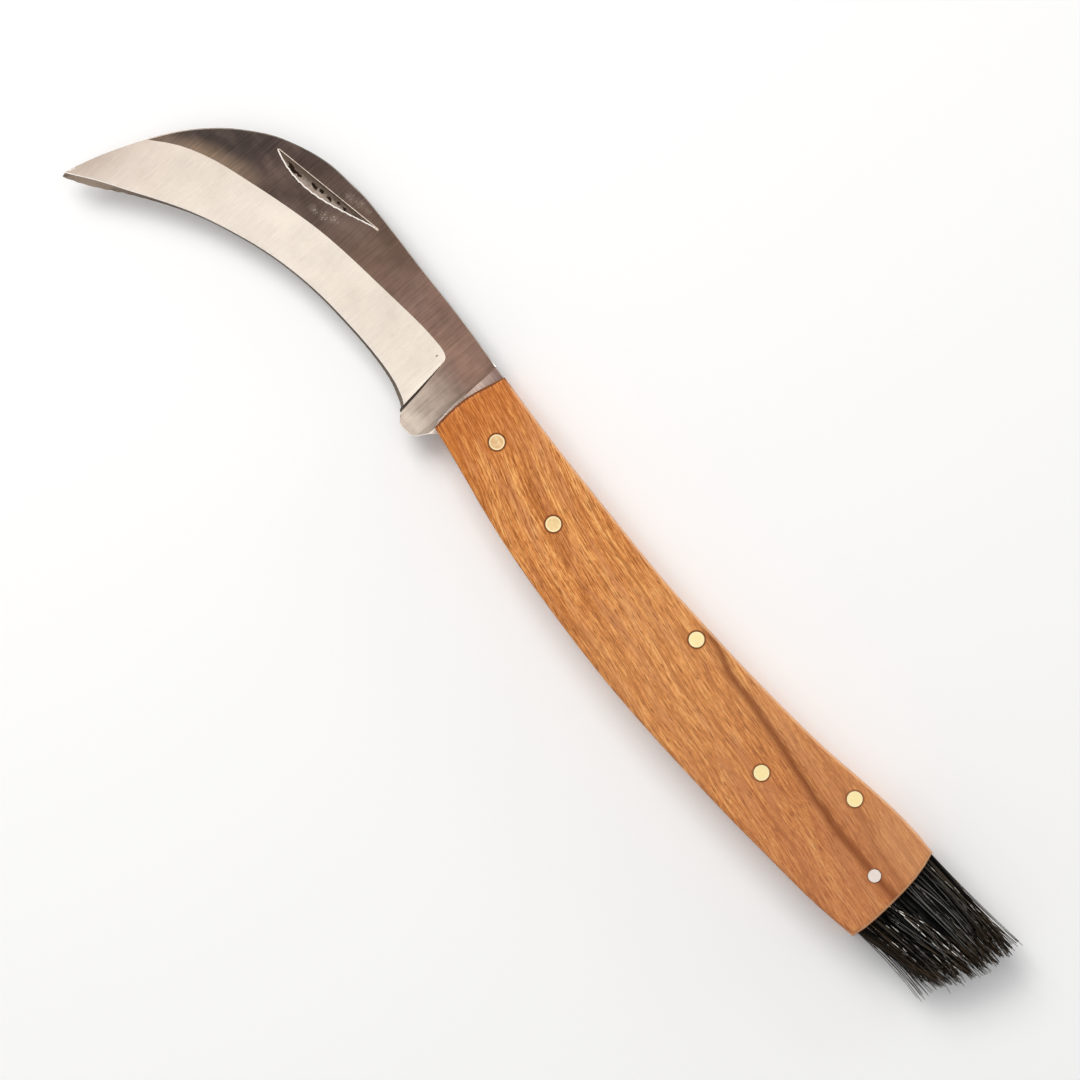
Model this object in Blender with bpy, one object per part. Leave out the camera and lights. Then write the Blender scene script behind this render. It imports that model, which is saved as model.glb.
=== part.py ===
"""A folding mushroom knife: hawkbill blade, wooden handle, and a brush in its tail.

Lengths are metres. +X runs along the handle from the blade to the brush, +Y towards the
back of the knife, and +Z out of the left scale. The knife lies open on its right scale.
The origin is on the face it rests on, ORIGIN_FROM_PIVOT behind the blade's pivot.
"""

import math
import random

import bmesh
import bpy
from mathutils import Matrix, Vector

# Handle outline, seen from the left side, measured from the pivot's axis
HANDLE_LENGTH = 0.1227
HANDLE_FRONT = 0.01005
BACK_HEIGHT = 0.01143
BELLY_DEPTH = 0.01382
FRONT_SETBACK = 0.0019
REAR_SETBACK = 0.00244
EDGE_ROUNDING = 0.0008
ROUNDING_STEPS = 3
ROUND_SHARE = 0.5
ORIGIN_FROM_PIVOT = 0.045

# Back and belly: share of the handle's length from its front, share of the height or depth
BACK_SHARES = (
    (0.0, 0.794), (0.015, 0.783), (0.086, 0.722), (0.161, 0.673), (0.267, 0.629),
    (0.403, 0.584), (0.493, 0.605), (0.584, 0.638), (0.689, 0.710), (0.765, 0.786),
    (0.825, 0.883), (0.885, 0.964), (0.915, 0.990), (0.953, 1.0), (1.0, 0.972),
)
BELLY_SHARES = (
    (0.0, 0.500), (0.041, 0.554), (0.086, 0.628), (0.161, 0.755), (0.237, 0.851),
    (0.312, 0.916), (0.418, 0.979), (0.508, 1.0), (0.614, 0.985), (0.734, 0.942),
    (0.825, 0.889), (0.915, 0.830), (1.0, 0.722),
)
# Ends of the scales: share of the height from belly to back, share of the end's setback
FRONT_SHARES = ((0.0, 0.243), (0.133, 0.07), (0.307, 0.0), (0.481, 0.03), (0.713, 0.388), (1.0, 1.0))
REAR_SHARES = ((0.0, 0.167), (0.069, 0.053), (0.26, 0.0), (0.588, 0.167), (0.813, 0.47), (1.0, 1.0))

# Thickness of the plates, from the middle of the knife outwards
SPRING_THICKNESS = 0.0025
TANG_THICKNESS = 0.0024
BLADE_THICKNESS = 0.0021
LINER_THICKNESS = 0.0008
SCALE_THICKNESS = 0.0046
PLATE_GAP = 0.00005

# Pins and rivets: share of the handle's length from its front, share of its height from the belly
PIN_RADIUS = 0.0015
BRUSH_PIN_RADIUS = 0.00125
PIN_CLEARANCE = 0.00006
PIN_SIDES = 24
SPRING_PIN_SHARES = (0.504, 0.842)
SPRING_PIN_INSETS = (0.00292, 0.00353)
FRONT_RIVET_SHARES = (0.231, 0.508)
REAR_RIVET_SHARES = (0.720, 0.468)
BRUSH_PIN_SHARES = (0.949, 0.502)

# Back spring: a thin leaf over the tang, deep where its two pins pass
SPRING_LEAF = 0.0023
SPRING_TAIL = 0.0070
SPRING_DEPTH_SHARES = (
    (0.0, 0.30), (0.28, 0.30), (0.38, 0.40), (0.46, 0.68),
    (0.52, 0.83), (0.62, 0.84), (0.85, 0.98), (1.0, 1.0),
)
SEAT_GAP = 0.00005
KICK_CLEARANCE = 0.00012
KICK_SEAT = 0.0056
LEAF_LEAST = 0.0010

# Blade: its length in front of the handle, and how far the tip falls below the back's corner
BLADE_LENGTH = 0.0821
TIP_FALL = 0.0376
CLOSED_ANGLE = math.radians(158)
SHOULDER_SINK = 0.00015
TANG_HEEL = 0.0013
CAM_RISE = 0.0005
FLAT_REACH = 0.0064

# Spine, from the handle to the tip: share of the blade's length, share of the tip's fall
SPINE_SHARES = (
    (0.030, -0.004), (0.075, -0.014), (0.166, -0.030), (0.324, -0.046), (0.415, -0.058),
    (0.460, -0.062), (0.517, -0.064), (0.562, -0.055), (0.619, -0.041), (0.664, -0.014),
    (0.709, 0.025), (0.755, 0.077), (0.800, 0.151), (0.845, 0.244), (0.890, 0.369),
    (0.924, 0.497), (0.958, 0.666), (0.981, 0.798), (0.998, 0.925), (1.003, 0.968), (0.999, 1.01),
)
# Cutting edge and the line where its grind begins, from the heel past the tip:
# edge length and fall, grind line length and fall, width of the sharpened strip.
# The first row is the top of the ramp that the grind ends on, in front of the guard.
EDGE_SHARES = (
    (0.095, 0.498, 0.112, 0.201, 1.45),
    (0.103, 0.483, 0.117, 0.174, 1.85),
    (0.113, 0.471, 0.123, 0.154, 1.9),
    (0.130, 0.457, 0.137, 0.142, 1.8),
    (0.157, 0.438, 0.161, 0.138, 1.5),
    (0.202, 0.423, 0.211, 0.140, 1.25),
    (0.263, 0.416, 0.277, 0.152, 1.1),
    (0.336, 0.418, 0.356, 0.169, 1.0),
    (0.415, 0.427, 0.444, 0.188, 0.9),
    (0.494, 0.451, 0.528, 0.215, 0.8),
    (0.573, 0.491, 0.619, 0.261, 0.75),
    (0.653, 0.550, 0.709, 0.316, 0.7),
    (0.732, 0.623, 0.800, 0.378, 0.75),
    (0.800, 0.707, 0.879, 0.463, 0.9),
    (0.868, 0.806, 0.949, 0.587, 1.3),
    (0.936, 0.917, 1.017, 0.701, 2.6),
    (1.0, 1.0, 1.081, 0.775, 1.5),
    (1.038, 1.037, 1.121, 0.824, 1.2),
)
EDGE_STRIP = 0.00045
EDGE_STOCK = 0.0003
SHOULDER_THICKNESS = 0.0005
HOLLOW = 0.00008

# Kick under the heel, from the edge to the handle: share of the blade's length and of the fall
KICK_SHARES = (
    (0.092, 0.509), (0.078, 0.538), (0.071, 0.545), (0.041, 0.538),
    (0.035, 0.531), (0.029, 0.513), (0.015, 0.461), (0.007, 0.444),
)
# Foot of the ramp from tang to blade: share of the handle's front height, share of the strip
STRIP_WIDTH = 0.0008
STRIP_RUN = 0.00026
STRIP_SHARES = ((0.0, -0.6), (0.075, 0.1), (0.25, 0.6), (0.48, 0.84), (0.71, 0.98), (1.0, 1.0))

# Nail nick in the left face, wider towards the tip
NICK_CHORD = 0.0238
NICK_DEPTH = 0.0006
NICK_WIDTH = 0.00232
NICK_SKEW_SHARE = 0.5
NICK_PLACE_SHARES = (0.587, 0.050)
NICK_ANGLE = math.radians(10.1)

# Brush: a block that fills the tail of the handle, and the strands set in its end
BRUSH_THICKNESS = 0.0069
BRUSH_FRONT_SHARE = 0.878
BRUSH_SINK = 0.0007
BRUSH_SLICE = 0.0012
BRUSH_GAP = 0.0001
BRUSH_BACK_INSET = 0.0002
BRUSH_BELLY_INSET = 0.0010
BRISTLE_ROWS = 40
BRISTLE_LAYERS = 10
BRISTLE_LENGTH = 0.0215
BRISTLE_BELLY_LOSS = 0.0030
BRISTLE_RAGGED = 0.0012
BRISTLE_WIDTH = 0.00024
BRISTLE_TILT = math.radians(5.0)
BRISTLE_BEND_SHARE = 0.55
BRISTLE_SEED = 7
# Tufts: how far apart they stand, how far a tip is drawn in, and how the tip end spreads
CLUMP_PITCH = 0.0034
CLUMP_PULL = 0.00032
CLUMP_SLANT_SHARES = (0.5, 0.33)
BRISTLE_SPREAD = 0.0004

# Pieces that each curve stretch, outline side and rounded end is drawn with
CURVE_STEPS = 3
EDGE_STEPS = 30
END_STEPS = 8

CUT_OVERRUN = 0.0012
WELD = 0.000001
SMOOTH_ANGLE = math.radians(35)

# Finishes: base colour, roughness, metallic
BLADE_STEEL = ((0.62, 0.58, 0.55), 0.32, 1)
SPRING_STEEL = ((0.55, 0.53, 0.51), 0.40, 1)
LINER_STEEL = ((0.60, 0.59, 0.57), 0.45, 1)
PIN_STEEL = ((0.72, 0.70, 0.69), 0.30, 1)
PIN_BRASS = ((0.86, 0.65, 0.33), 0.30, 1)
HANDLE_WOOD = ((0.58, 0.25, 0.09), 0.55, 0)
BLOCK_BLACK = ((0.03, 0.028, 0.026), 0.60, 0)
BRISTLE_BLACK = ((0.02, 0.018, 0.018), 0.50, 0)

# Places worked out from the sizes above
SLOT_HALF = SPRING_THICKNESS / 2 + PLATE_GAP
LINER_OUTER = SLOT_HALF + LINER_THICKNESS
SCALE_INNER = LINER_OUTER + PLATE_GAP
SCALE_OUTER = SCALE_INNER + SCALE_THICKNESS
PIN_OUTER = SCALE_OUTER + CUT_OVERRUN
HANDLE_REAR = HANDLE_LENGTH - HANDLE_FRONT
BRUSH_FRONT = BRUSH_FRONT_SHARE * HANDLE_LENGTH - HANDLE_FRONT
LINER_REAR = BRUSH_FRONT - BRUSH_GAP


def slopes(points, marks):
    """Slope of each value of each point, from its neighbours on both sides."""
    rows = []
    for here in range(len(points)):
        before = max(here - 1, 0)
        after = min(here + 1, len(points) - 1)
        run = marks[after] - marks[before]
        rows.append([(b - a) / run for a, b in zip(points[before], points[after])])
    return rows


def between(start, end, leaving, arriving, run, t):
    """Value at share t of a stretch that leaves and arrives at the given slopes."""
    rest = 1 - t
    held = start * rest * rest * (1 + 2 * t) + end * t * t * (1 + 2 * rest)
    return held + run * t * rest * (leaving * rest - arriving * t)


def smooth(points, steps):
    """Curve through a row of points, with steps pieces to each stretch."""
    marks = [0.0]
    for a, b in zip(points, points[1:]):
        marks.append(marks[-1] + math.dist(a[:2], b[:2]))
    rows = slopes(points, marks)
    curve = []
    for i in range(len(points) - 1):
        run = marks[i + 1] - marks[i]
        stretch = list(zip(points[i], points[i + 1], rows[i], rows[i + 1]))
        for step in range(steps):
            curve.append([between(*values, run, step / steps) for values in stretch])
    curve.append(list(points[-1]))
    return curve


def height(table, place):
    """Second column of a table at a place in its first column, read from a smooth curve."""
    marks = [row[0] for row in table]
    values = [(row[1],) for row in table]
    rows = slopes(values, marks)
    i = max(0, min(len(marks) - 2, sum(mark <= place for mark in marks) - 1))
    run = marks[i + 1] - marks[i]
    t = (place - marks[i]) / run
    return between(values[i][0], values[i + 1][0], rows[i][0], rows[i + 1][0], run, t)


def spaced(start, end, steps):
    """Evenly spaced numbers from start to end, both included."""
    return [start + (end - start) * i / steps for i in range(steps + 1)]


def back(x):
    """Height of the handle's back over the pivot."""
    return BACK_HEIGHT * height(BACK_SHARES, (x + HANDLE_FRONT) / HANDLE_LENGTH)


def belly(x):
    """Height of the handle's belly, below the pivot."""
    return -BELLY_DEPTH * height(BELLY_SHARES, (x + HANDLE_FRONT) / HANDLE_LENGTH)


def front_end(share):
    """Front end of the scales at a share of their height."""
    return FRONT_SETBACK * height(FRONT_SHARES, share) - HANDLE_FRONT


def rear_end(share):
    """Rear end of the scales at a share of their height."""
    return HANDLE_REAR - REAR_SETBACK * height(REAR_SHARES, share)


def end_curve(end, inset, share_from, share_to):
    """Points along an end of the handle, moved along X by inset, without its corners."""
    low = belly(end(0))
    high = back(end(1))
    points = []
    for share in spaced(share_from, share_to, END_STEPS)[1:-1]:
        points.append((end(share) + inset, low + (high - low) * share))
    return points


def edge_curve(edge, start, end, steps):
    """Points along the back or the belly."""
    return [(x, edge(x)) for x in spaced(start, end, steps)]


def scale_outline():
    """Outline of a scale, from the front corner of its back and round by the rear."""
    points = edge_curve(back, front_end(1), rear_end(1), EDGE_STEPS)
    points += end_curve(rear_end, 0, 1, 0)
    points += edge_curve(belly, rear_end(0), front_end(0), EDGE_STEPS)
    return points + end_curve(front_end, 0, 0, 1)


def liner_outline():
    """Outline of a liner, flush with the scale as far as the brush block."""
    points = edge_curve(back, front_end(1) + PLATE_GAP, LINER_REAR, EDGE_STEPS)
    points += edge_curve(belly, LINER_REAR, front_end(0) + PLATE_GAP, EDGE_STEPS)
    return points + end_curve(front_end, PLATE_GAP, 0, 1)


def pin_place(shares):
    """Place of a pin given by its share of the length and of the height there."""
    x = shares[0] * HANDLE_LENGTH - HANDLE_FRONT
    return x, belly(x) + (back(x) - belly(x)) * shares[1]


def spring_pin_place(index):
    """Place of a spring pin, at its depth under the back."""
    x = SPRING_PIN_SHARES[index] * HANDLE_LENGTH - HANDLE_FRONT
    return x, back(x) - SPRING_PIN_INSETS[index]


SHOULDER_X = front_end(1) + SHOULDER_SINK
SHOULDER_Y = back(SHOULDER_X)
TANG_FLAT = back(0) - SPRING_LEAF - SEAT_GAP


def blade_point(length_share, fall_share):
    """Point of the open blade from shares of its length and of the tip's fall."""
    return (
        front_end(1) - BLADE_LENGTH * length_share,
        back(front_end(1)) - TIP_FALL * fall_share,
    )


def grind_line(row):
    """Edge point of a row of the edge table, the way across the grind, and its width."""
    start = Vector(blade_point(*row[:2]))
    across = Vector(blade_point(*row[2:4])) - start
    return start, across.normalized(), across.length


def tang_outline():
    """Tang from the kick to the shoulder: heel, closed flat, round cam and open flat."""
    heel_x = front_end(0) + TANG_HEEL
    points = [(heel_x, belly(heel_x))]
    facing = math.pi / 2 - CLOSED_ANGLE
    foot = Vector((math.cos(facing), math.sin(facing))) * TANG_FLAT
    along = Vector((-math.sin(facing), math.cos(facing)))
    points.append(tuple(foot - along * FLAT_REACH))
    cam = TANG_FLAT + CAM_RISE
    corner = math.acos(TANG_FLAT / cam)
    for angle in spaced(facing + corner, math.pi / 2 - corner, END_STEPS):
        points.append((cam * math.cos(angle), cam * math.sin(angle)))
    points.append((SHOULDER_X, TANG_FLAT))
    points.append((SHOULDER_X, SHOULDER_Y))
    return points


def blade_outline():
    """Blank of the blade and tang, from the shoulder along the spine and back by the edge.

    It has stock to spare beyond the edge, which the grind takes away.
    """
    spine = [blade_point(*row) for row in SPINE_SHARES]
    points = smooth([(SHOULDER_X, SHOULDER_Y)] + spine, CURVE_STEPS)[1:]
    edge = []
    for row in EDGE_SHARES[1:-2]:
        start, across, width = grind_line(row)
        edge.append(tuple(start - across * EDGE_STOCK))
    points += reversed(smooth(edge, CURVE_STEPS))
    points += [blade_point(*row) for row in KICK_SHARES]
    return points + tang_outline()


def closed_kick():
    """Place of the kick's highest point when the knife is closed."""
    turn = Matrix.Rotation(CLOSED_ANGLE, 2)
    return max((turn @ Vector(blade_point(*row)) for row in KICK_SHARES), key=lambda point: point.y)


def spring_outline():
    """Outline of the spring, from the shoulder along the back, and forward underneath.

    The leaf lies on the tang's flats and has a shallow seat over the kick of the closed blade.
    """
    front = SHOULDER_X + SEAT_GAP
    points = edge_curve(back, front, LINER_REAR, EDGE_STEPS)
    kick = closed_kick()
    under = TANG_FLAT + SEAT_GAP
    seat = min(max(under, kick.y + KICK_CLEARANCE), back(kick.x) - LEAF_LEAST)
    leaf_start = kick.x + KICK_SEAT
    for x in spaced(LINER_REAR, leaf_start, EDGE_STEPS):
        share = (x - leaf_start) / (LINER_REAR - leaf_start)
        points.append((x, back(x) - SPRING_TAIL * height(SPRING_DEPTH_SHARES, share)))
    points.append((kick.x + KICK_SEAT / 2, seat))
    points.append((kick.x - KICK_SEAT / 2, seat))
    points.append((kick.x - KICK_SEAT, under))
    points.append((front, under))
    return points


def brush_outline():
    """Outline of the brush block, with its rear end set in from the end of the scales."""
    inset = -(BRUSH_SINK + BRUSH_SLICE + BRUSH_GAP)
    points = edge_curve(back, BRUSH_FRONT, rear_end(1) + inset, END_STEPS)
    points += end_curve(rear_end, inset, 1, 0)
    return points + edge_curve(belly, rear_end(0) + inset, BRUSH_FRONT, END_STEPS)


def new_collection(name):
    collection = bpy.data.collections.new(name)
    bpy.context.scene.collection.children.link(collection)
    return collection


def add_object(name, mesh, collection):
    piece = bpy.data.objects.new(name, mesh)
    collection.objects.link(piece)
    return piece


def plate(name, outline, low, high, collection):
    """Flat plate: a filled outline, extruded between two heights and made a mesh."""
    curve = bpy.data.curves.new(name, "CURVE")
    curve.dimensions = "2D"
    curve.fill_mode = "BOTH"
    curve.extrude = (high - low) / 2
    spline = curve.splines.new("POLY")
    spline.points.add(len(outline) - 1)
    for point, place in zip(spline.points, outline):
        point.co = (place[0], place[1], 0, 1)
    spline.use_cyclic_u = True
    flat = add_object(name, curve, collection)
    flat.location.z = (high + low) / 2
    bpy.context.view_layer.update()
    mesh = bpy.data.meshes.new_from_object(flat.evaluated_get(bpy.context.evaluated_depsgraph_get()))
    solid = bmesh.new()
    solid.from_mesh(mesh)
    solid.transform(flat.matrix_world)
    bmesh.ops.remove_doubles(solid, verts=solid.verts, dist=WELD)
    bmesh.ops.recalc_face_normals(solid, faces=solid.faces)
    solid.to_mesh(mesh)
    solid.free()
    bpy.data.objects.remove(flat)
    bpy.data.curves.remove(curve)
    mesh.name = name
    return add_object(name, mesh, collection)


def round_face(piece, levels):
    """Rounds the outline of the flat faces that lie at the given heights."""
    solid = bmesh.new()
    solid.from_mesh(piece.data)
    for level in levels:
        flat = [face for face in solid.faces if all(abs(v.co.z - level) < WELD for v in face.verts)]
        seams = [edge for edge in solid.edges if all(face in flat for face in edge.link_faces)]
        bmesh.ops.dissolve_edges(solid, edges=seams)
        rim = [edge for edge in solid.edges if all(abs(v.co.z - level) < WELD for v in edge.verts)]
        bmesh.ops.bevel(
            solid,
            geom=rim,
            offset=EDGE_ROUNDING,
            segments=ROUNDING_STEPS,
            profile=ROUND_SHARE,
            affect="EDGES",
            clamp_overlap=False,
            material=-1,
        )
    bmesh.ops.recalc_face_normals(solid, faces=solid.faces)
    solid.to_mesh(piece.data)
    solid.free()


def loft(name, sections, collection):
    """Closed solid through a row of sections with the same number of points."""
    solid = bmesh.new()
    rings = [[solid.verts.new(point) for point in section] for section in sections]
    for ring, following in zip(rings, rings[1:]):
        for i in range(len(ring)):
            j = (i + 1) % len(ring)
            solid.faces.new((ring[i], ring[j], following[j], following[i]))
    solid.faces.new(rings[0])
    solid.faces.new(rings[-1])
    bmesh.ops.recalc_face_normals(solid, faces=solid.faces)
    mesh = bpy.data.meshes.new(name)
    solid.to_mesh(mesh)
    solid.free()
    return add_object(name, mesh, collection)


def cylinder(name, place, radius, low, high, collection):
    """Upright cylinder between two heights."""
    bpy.ops.mesh.primitive_cylinder_add(
        vertices=PIN_SIDES,
        radius=radius,
        depth=high - low,
        location=(place[0], place[1], (high + low) / 2),
    )
    piece = bpy.context.active_object
    for owner in list(piece.users_collection):
        owner.objects.unlink(piece)
    collection.objects.link(piece)
    piece.name = name
    piece.data.name = name
    return piece


def as_cutter(piece):
    piece.hide_render = True
    piece.display_type = "WIRE"
    return piece


def cut(piece, tools, cutters):
    """Cuts a piece with all its tools at once, gathered in a collection of its own."""
    group = bpy.data.collections.new(piece.name + "_cuts")
    cutters.children.link(group)
    for tool in tools:
        group.objects.link(tool)
    modifier = piece.modifiers.new("cuts", "BOOLEAN")
    modifier.operation = "DIFFERENCE"
    modifier.operand_type = "COLLECTION"
    modifier.collection = group
    modifier.solver = "EXACT"


def sand_flush(piece, form):
    """Keeps only what lies inside the outer form of the handle."""
    modifier = piece.modifiers.new("flush", "BOOLEAN")
    modifier.operation = "INTERSECT"
    modifier.object = form
    modifier.solver = "EXACT"


def finish(piece, look):
    """Gives a piece its material and smooth round sides."""
    color, roughness, metallic = look
    material = bpy.data.materials.new(piece.name)
    material.use_nodes = True
    shader = material.node_tree.nodes["Principled BSDF"]
    shader.inputs["Base Color"].default_value = (*color, 1)
    shader.inputs["Roughness"].default_value = roughness
    shader.inputs["Metallic"].default_value = metallic
    piece.data.materials.clear()
    piece.data.materials.append(material)
    piece.data.shade_smooth()
    piece.data.set_sharp_from_angle(angle=SMOOTH_ANGLE)


def bevel_cutter(side, cutters):
    """Wedge that one face of the blade is ground with, from the heel past the tip.

    Each section leaves the sharpened strip, then a slightly hollow bevel up to the flat.
    The first one is lifted to the flat, so that the grind runs out on a ramp.
    """
    flat = BLADE_THICKNESS / 2
    shoulder = SHOULDER_THICKNESS / 2
    middle = (shoulder + flat) / 2 - HOLLOW
    sections = []
    for row in [EDGE_SHARES[0]] + smooth(EDGE_SHARES[1:], CURVE_STEPS):
        start, across, width = grind_line(row)
        strip = EDGE_STRIP * row[4]
        least = -CUT_OVERRUN if sections else flat
        rise = 2 * (flat - middle) / width
        profile = (
            (-CUT_OVERRUN, -CUT_OVERRUN * shoulder / strip),
            (strip, shoulder),
            (width / 2, middle),
            (width, flat),
            (width + CUT_OVERRUN, flat + CUT_OVERRUN * rise),
            (width + CUT_OVERRUN, flat + CUT_OVERRUN),
            (-CUT_OVERRUN, flat + CUT_OVERRUN),
        )
        section = []
        for distance, level in profile:
            place = start + across * distance
            section.append((place.x, place.y, side * max(level, least)))
        sections.append(section)
    return as_cutter(loft("grind_wheel", sections, cutters))


def relief_cutter(side, cutters):
    """Block that thins the blade in front of the tang, up to a short ramp."""
    low = belly(front_end(0))
    high = back(front_end(1))
    rows = [(low + (high - low) * share, strip_share) for share, strip_share in STRIP_SHARES]
    below = blade_point(0, 1)[1] - CUT_OVERRUN
    above = blade_point(0, min(share for place, share in SPINE_SHARES))[1] + CUT_OVERRUN
    rows = [(below, rows[0][1])] + rows + [(above, rows[-1][1])]
    far = blade_point(1, 1)[0] - CUT_OVERRUN
    flat = side * BLADE_THICKNESS / 2
    step = side * (TANG_THICKNESS - BLADE_THICKNESS)
    sections = []
    for y, strip_share in rows:
        foot = -HANDLE_FRONT - STRIP_WIDTH * strip_share
        top = foot + 2 * STRIP_RUN
        sections.append(((far, y, flat), (foot, y, flat), (top, y, flat + step), (far, y, flat + step)))
    return as_cutter(loft("relief_block", sections, cutters))


def nick_cutter(cutters):
    """Rim of a wide dished wheel, which cuts the nail nick with a wall on its spine side."""
    radius = NICK_CHORD**2 / (8 * NICK_DEPTH)
    reach = math.asin((NICK_CHORD / 2 + CUT_OVERRUN) / radius)
    middle = Vector(blade_point(*NICK_PLACE_SHARES))
    along = Vector((math.cos(NICK_ANGLE), math.sin(NICK_ANGLE)))
    across = Vector((math.sin(NICK_ANGLE), -math.cos(NICK_ANGLE)))
    centre = BLADE_THICKNESS / 2 - NICK_DEPTH + radius
    rim = NICK_DEPTH + CUT_OVERRUN
    sections = []
    for angle in spaced(-reach, reach, 2 * END_STEPS):
        taper = 1 - NICK_SKEW_SHARE * 2 * radius * math.sin(angle) / NICK_CHORD
        width = NICK_WIDTH * taper * rim / NICK_DEPTH
        section = []
        for drop, distance in ((0, 0), (rim, width), (rim, 0)):
            ring = radius - drop
            place = middle + along * ring * math.sin(angle) + across * distance
            section.append((place.x, place.y, centre - ring * math.cos(angle)))
        sections.append(section)
    return as_cutter(loft("nick_wheel", sections, cutters))


def make_blade(drills, knife, cutters):
    """Blade blank with its faces thinned, ground to an edge, nicked and bored for its pivot."""
    half = TANG_THICKNESS / 2
    blade = plate("blade", blade_outline(), -half, half, knife)
    tools = [nick_cutter(cutters), drills["pivot_pin"]]
    for side in (1, -1):
        tools += [relief_cutter(side, cutters), bevel_cutter(side, cutters)]
    cut(blade, tools, cutters)
    finish(blade, BLADE_STEEL)


def make_spring(drills, knife, cutters):
    """Back spring between the liners, held by its two pins."""
    half = SPRING_THICKNESS / 2
    spring = plate("back_spring", spring_outline(), -half, half, knife)
    cut(spring, [drills["centre_spring_pin"], drills["rear_spring_pin"]], cutters)
    finish(spring, SPRING_STEEL)


def make_side(word, side, drills, rebate, knife, cutters):
    """Liner and wooden scale of one side of the handle."""
    low, high = sorted((side * SLOT_HALF, side * LINER_OUTER))
    liner = plate(word + "_liner", liner_outline(), low, high, knife)
    cut(liner, [drills[name] for name in drills if name != "brush_pin"], cutters)
    finish(liner, LINER_STEEL)
    low, high = sorted((side * SCALE_INNER, side * SCALE_OUTER))
    scale = plate(word + "_scale", scale_outline(), low, high, knife)
    round_face(scale, (side * SCALE_OUTER,))
    cut(scale, [rebate, *drills.values()], cutters)
    finish(scale, HANDLE_WOOD)


def brush_rebate(cutters):
    """Pocket across the inner faces of both scales, open at the tail, for the brush block."""
    half = BRUSH_THICKNESS / 2 + PLATE_GAP
    low = -BELLY_DEPTH - CUT_OVERRUN
    high = BACK_HEIGHT + CUT_OVERRUN
    rear = HANDLE_REAR + CUT_OVERRUN
    outline = ((LINER_REAR, high), (LINER_REAR, low), (rear, low), (rear, high))
    return as_cutter(plate("brush_rebate", outline, -half, half, cutters))


def make_pin(name, place, radius, low, high, look, form, knife):
    """Pin or rivet between two heights, sanded flush with the wood."""
    pin = cylinder(name, place, radius, low, high, knife)
    sand_flush(pin, form)
    finish(pin, look)


def make_block(drills, knife, cutters):
    """Block that the bristles are set in, crossed by its pin."""
    half = BRUSH_THICKNESS / 2
    block = plate("brush_block", brush_outline(), -half, half, knife)
    cut(block, [drills["brush_pin"]], cutters)
    finish(block, BLOCK_BLACK)


def strand_shift(y, z, share, tuft_low, reach):
    """How far a strand has moved sideways at a share of its length."""
    pull = CLUMP_PULL * share * share
    y_turn = 2 * math.pi * (y - tuft_low) / CLUMP_PITCH
    z_turn = 2 * math.pi * z / CLUMP_PITCH
    lean = math.tan(BRISTLE_TILT) * reach * share
    side = BRISTLE_SPREAD * share * math.sin(math.pi * z / BRUSH_THICKNESS)
    y_slant, z_slant = CLUMP_SLANT_SHARES
    y_shift = lean - pull * math.sin(y_turn + z_turn * y_slant)
    return y_shift, side - pull * math.sin(z_turn + y_turn * z_slant)


def draw_strand(tuft, strand, root, low, reach):
    """Draws one strand out to its bend, then to its point."""
    bend = strand_shift(root.y, root.z, BRISTLE_BEND_SHARE, low, reach)
    tip = strand_shift(root.y, root.z, 1, low, reach)
    bmesh.ops.translate(tuft, verts=strand.verts, vec=(reach * BRISTLE_BEND_SHARE, *bend))
    point = bmesh.ops.extrude_discrete_faces(tuft, faces=[strand])["faces"][0]
    end = Vector((root.x + reach, root.y + tip[0], root.z + tip[1]))
    bmesh.ops.pointmerge(tuft, verts=point.verts, merge_co=end)


def bristle_slice(tuft, low, high):
    """Slice of the brush block that follows the curved tail, with a square for each strand."""
    bmesh.ops.create_grid(tuft, x_segments=BRISTLE_ROWS, y_segments=BRISTLE_LAYERS, size=1)
    tail_low = belly(rear_end(0))
    tail_height = back(rear_end(1)) - tail_low
    for vert in tuft.verts:
        y = low + (high - low) * (vert.co.x + 1) / 2
        z = vert.co.y * (BRUSH_THICKNESS / 2 - BRUSH_GAP)
        tail = rear_end((y - tail_low) / tail_height)
        vert.co = (tail - BRUSH_SINK - BRUSH_SLICE, y, z)
    seams = [edge for edge in tuft.edges if not edge.is_boundary]
    seams = [edge for edge in seams if abs(edge.verts[0].co.z - edge.verts[1].co.z) < WELD]
    raised = bmesh.ops.extrude_face_region(tuft, geom=tuft.faces)["geom"]
    cells = [face for face in raised if isinstance(face, bmesh.types.BMFace)]
    raised = [vert for vert in raised if isinstance(vert, bmesh.types.BMVert)]
    bmesh.ops.translate(tuft, verts=raised, vec=(BRUSH_SLICE, 0, 0))
    bmesh.ops.dissolve_edges(tuft, edges=seams, use_verts=True)
    inset = ((high - low) / BRISTLE_ROWS - BRISTLE_WIDTH) / 2
    bmesh.ops.inset_individual(tuft, faces=cells, thickness=inset, use_even_offset=True)
    for cell in cells:
        centre = cell.calc_center_median()
        for vert in cell.verts:
            vert.co.z = centre.z + math.copysign(BRISTLE_WIDTH / 2, vert.co.z - centre.z)
    return cells


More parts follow.
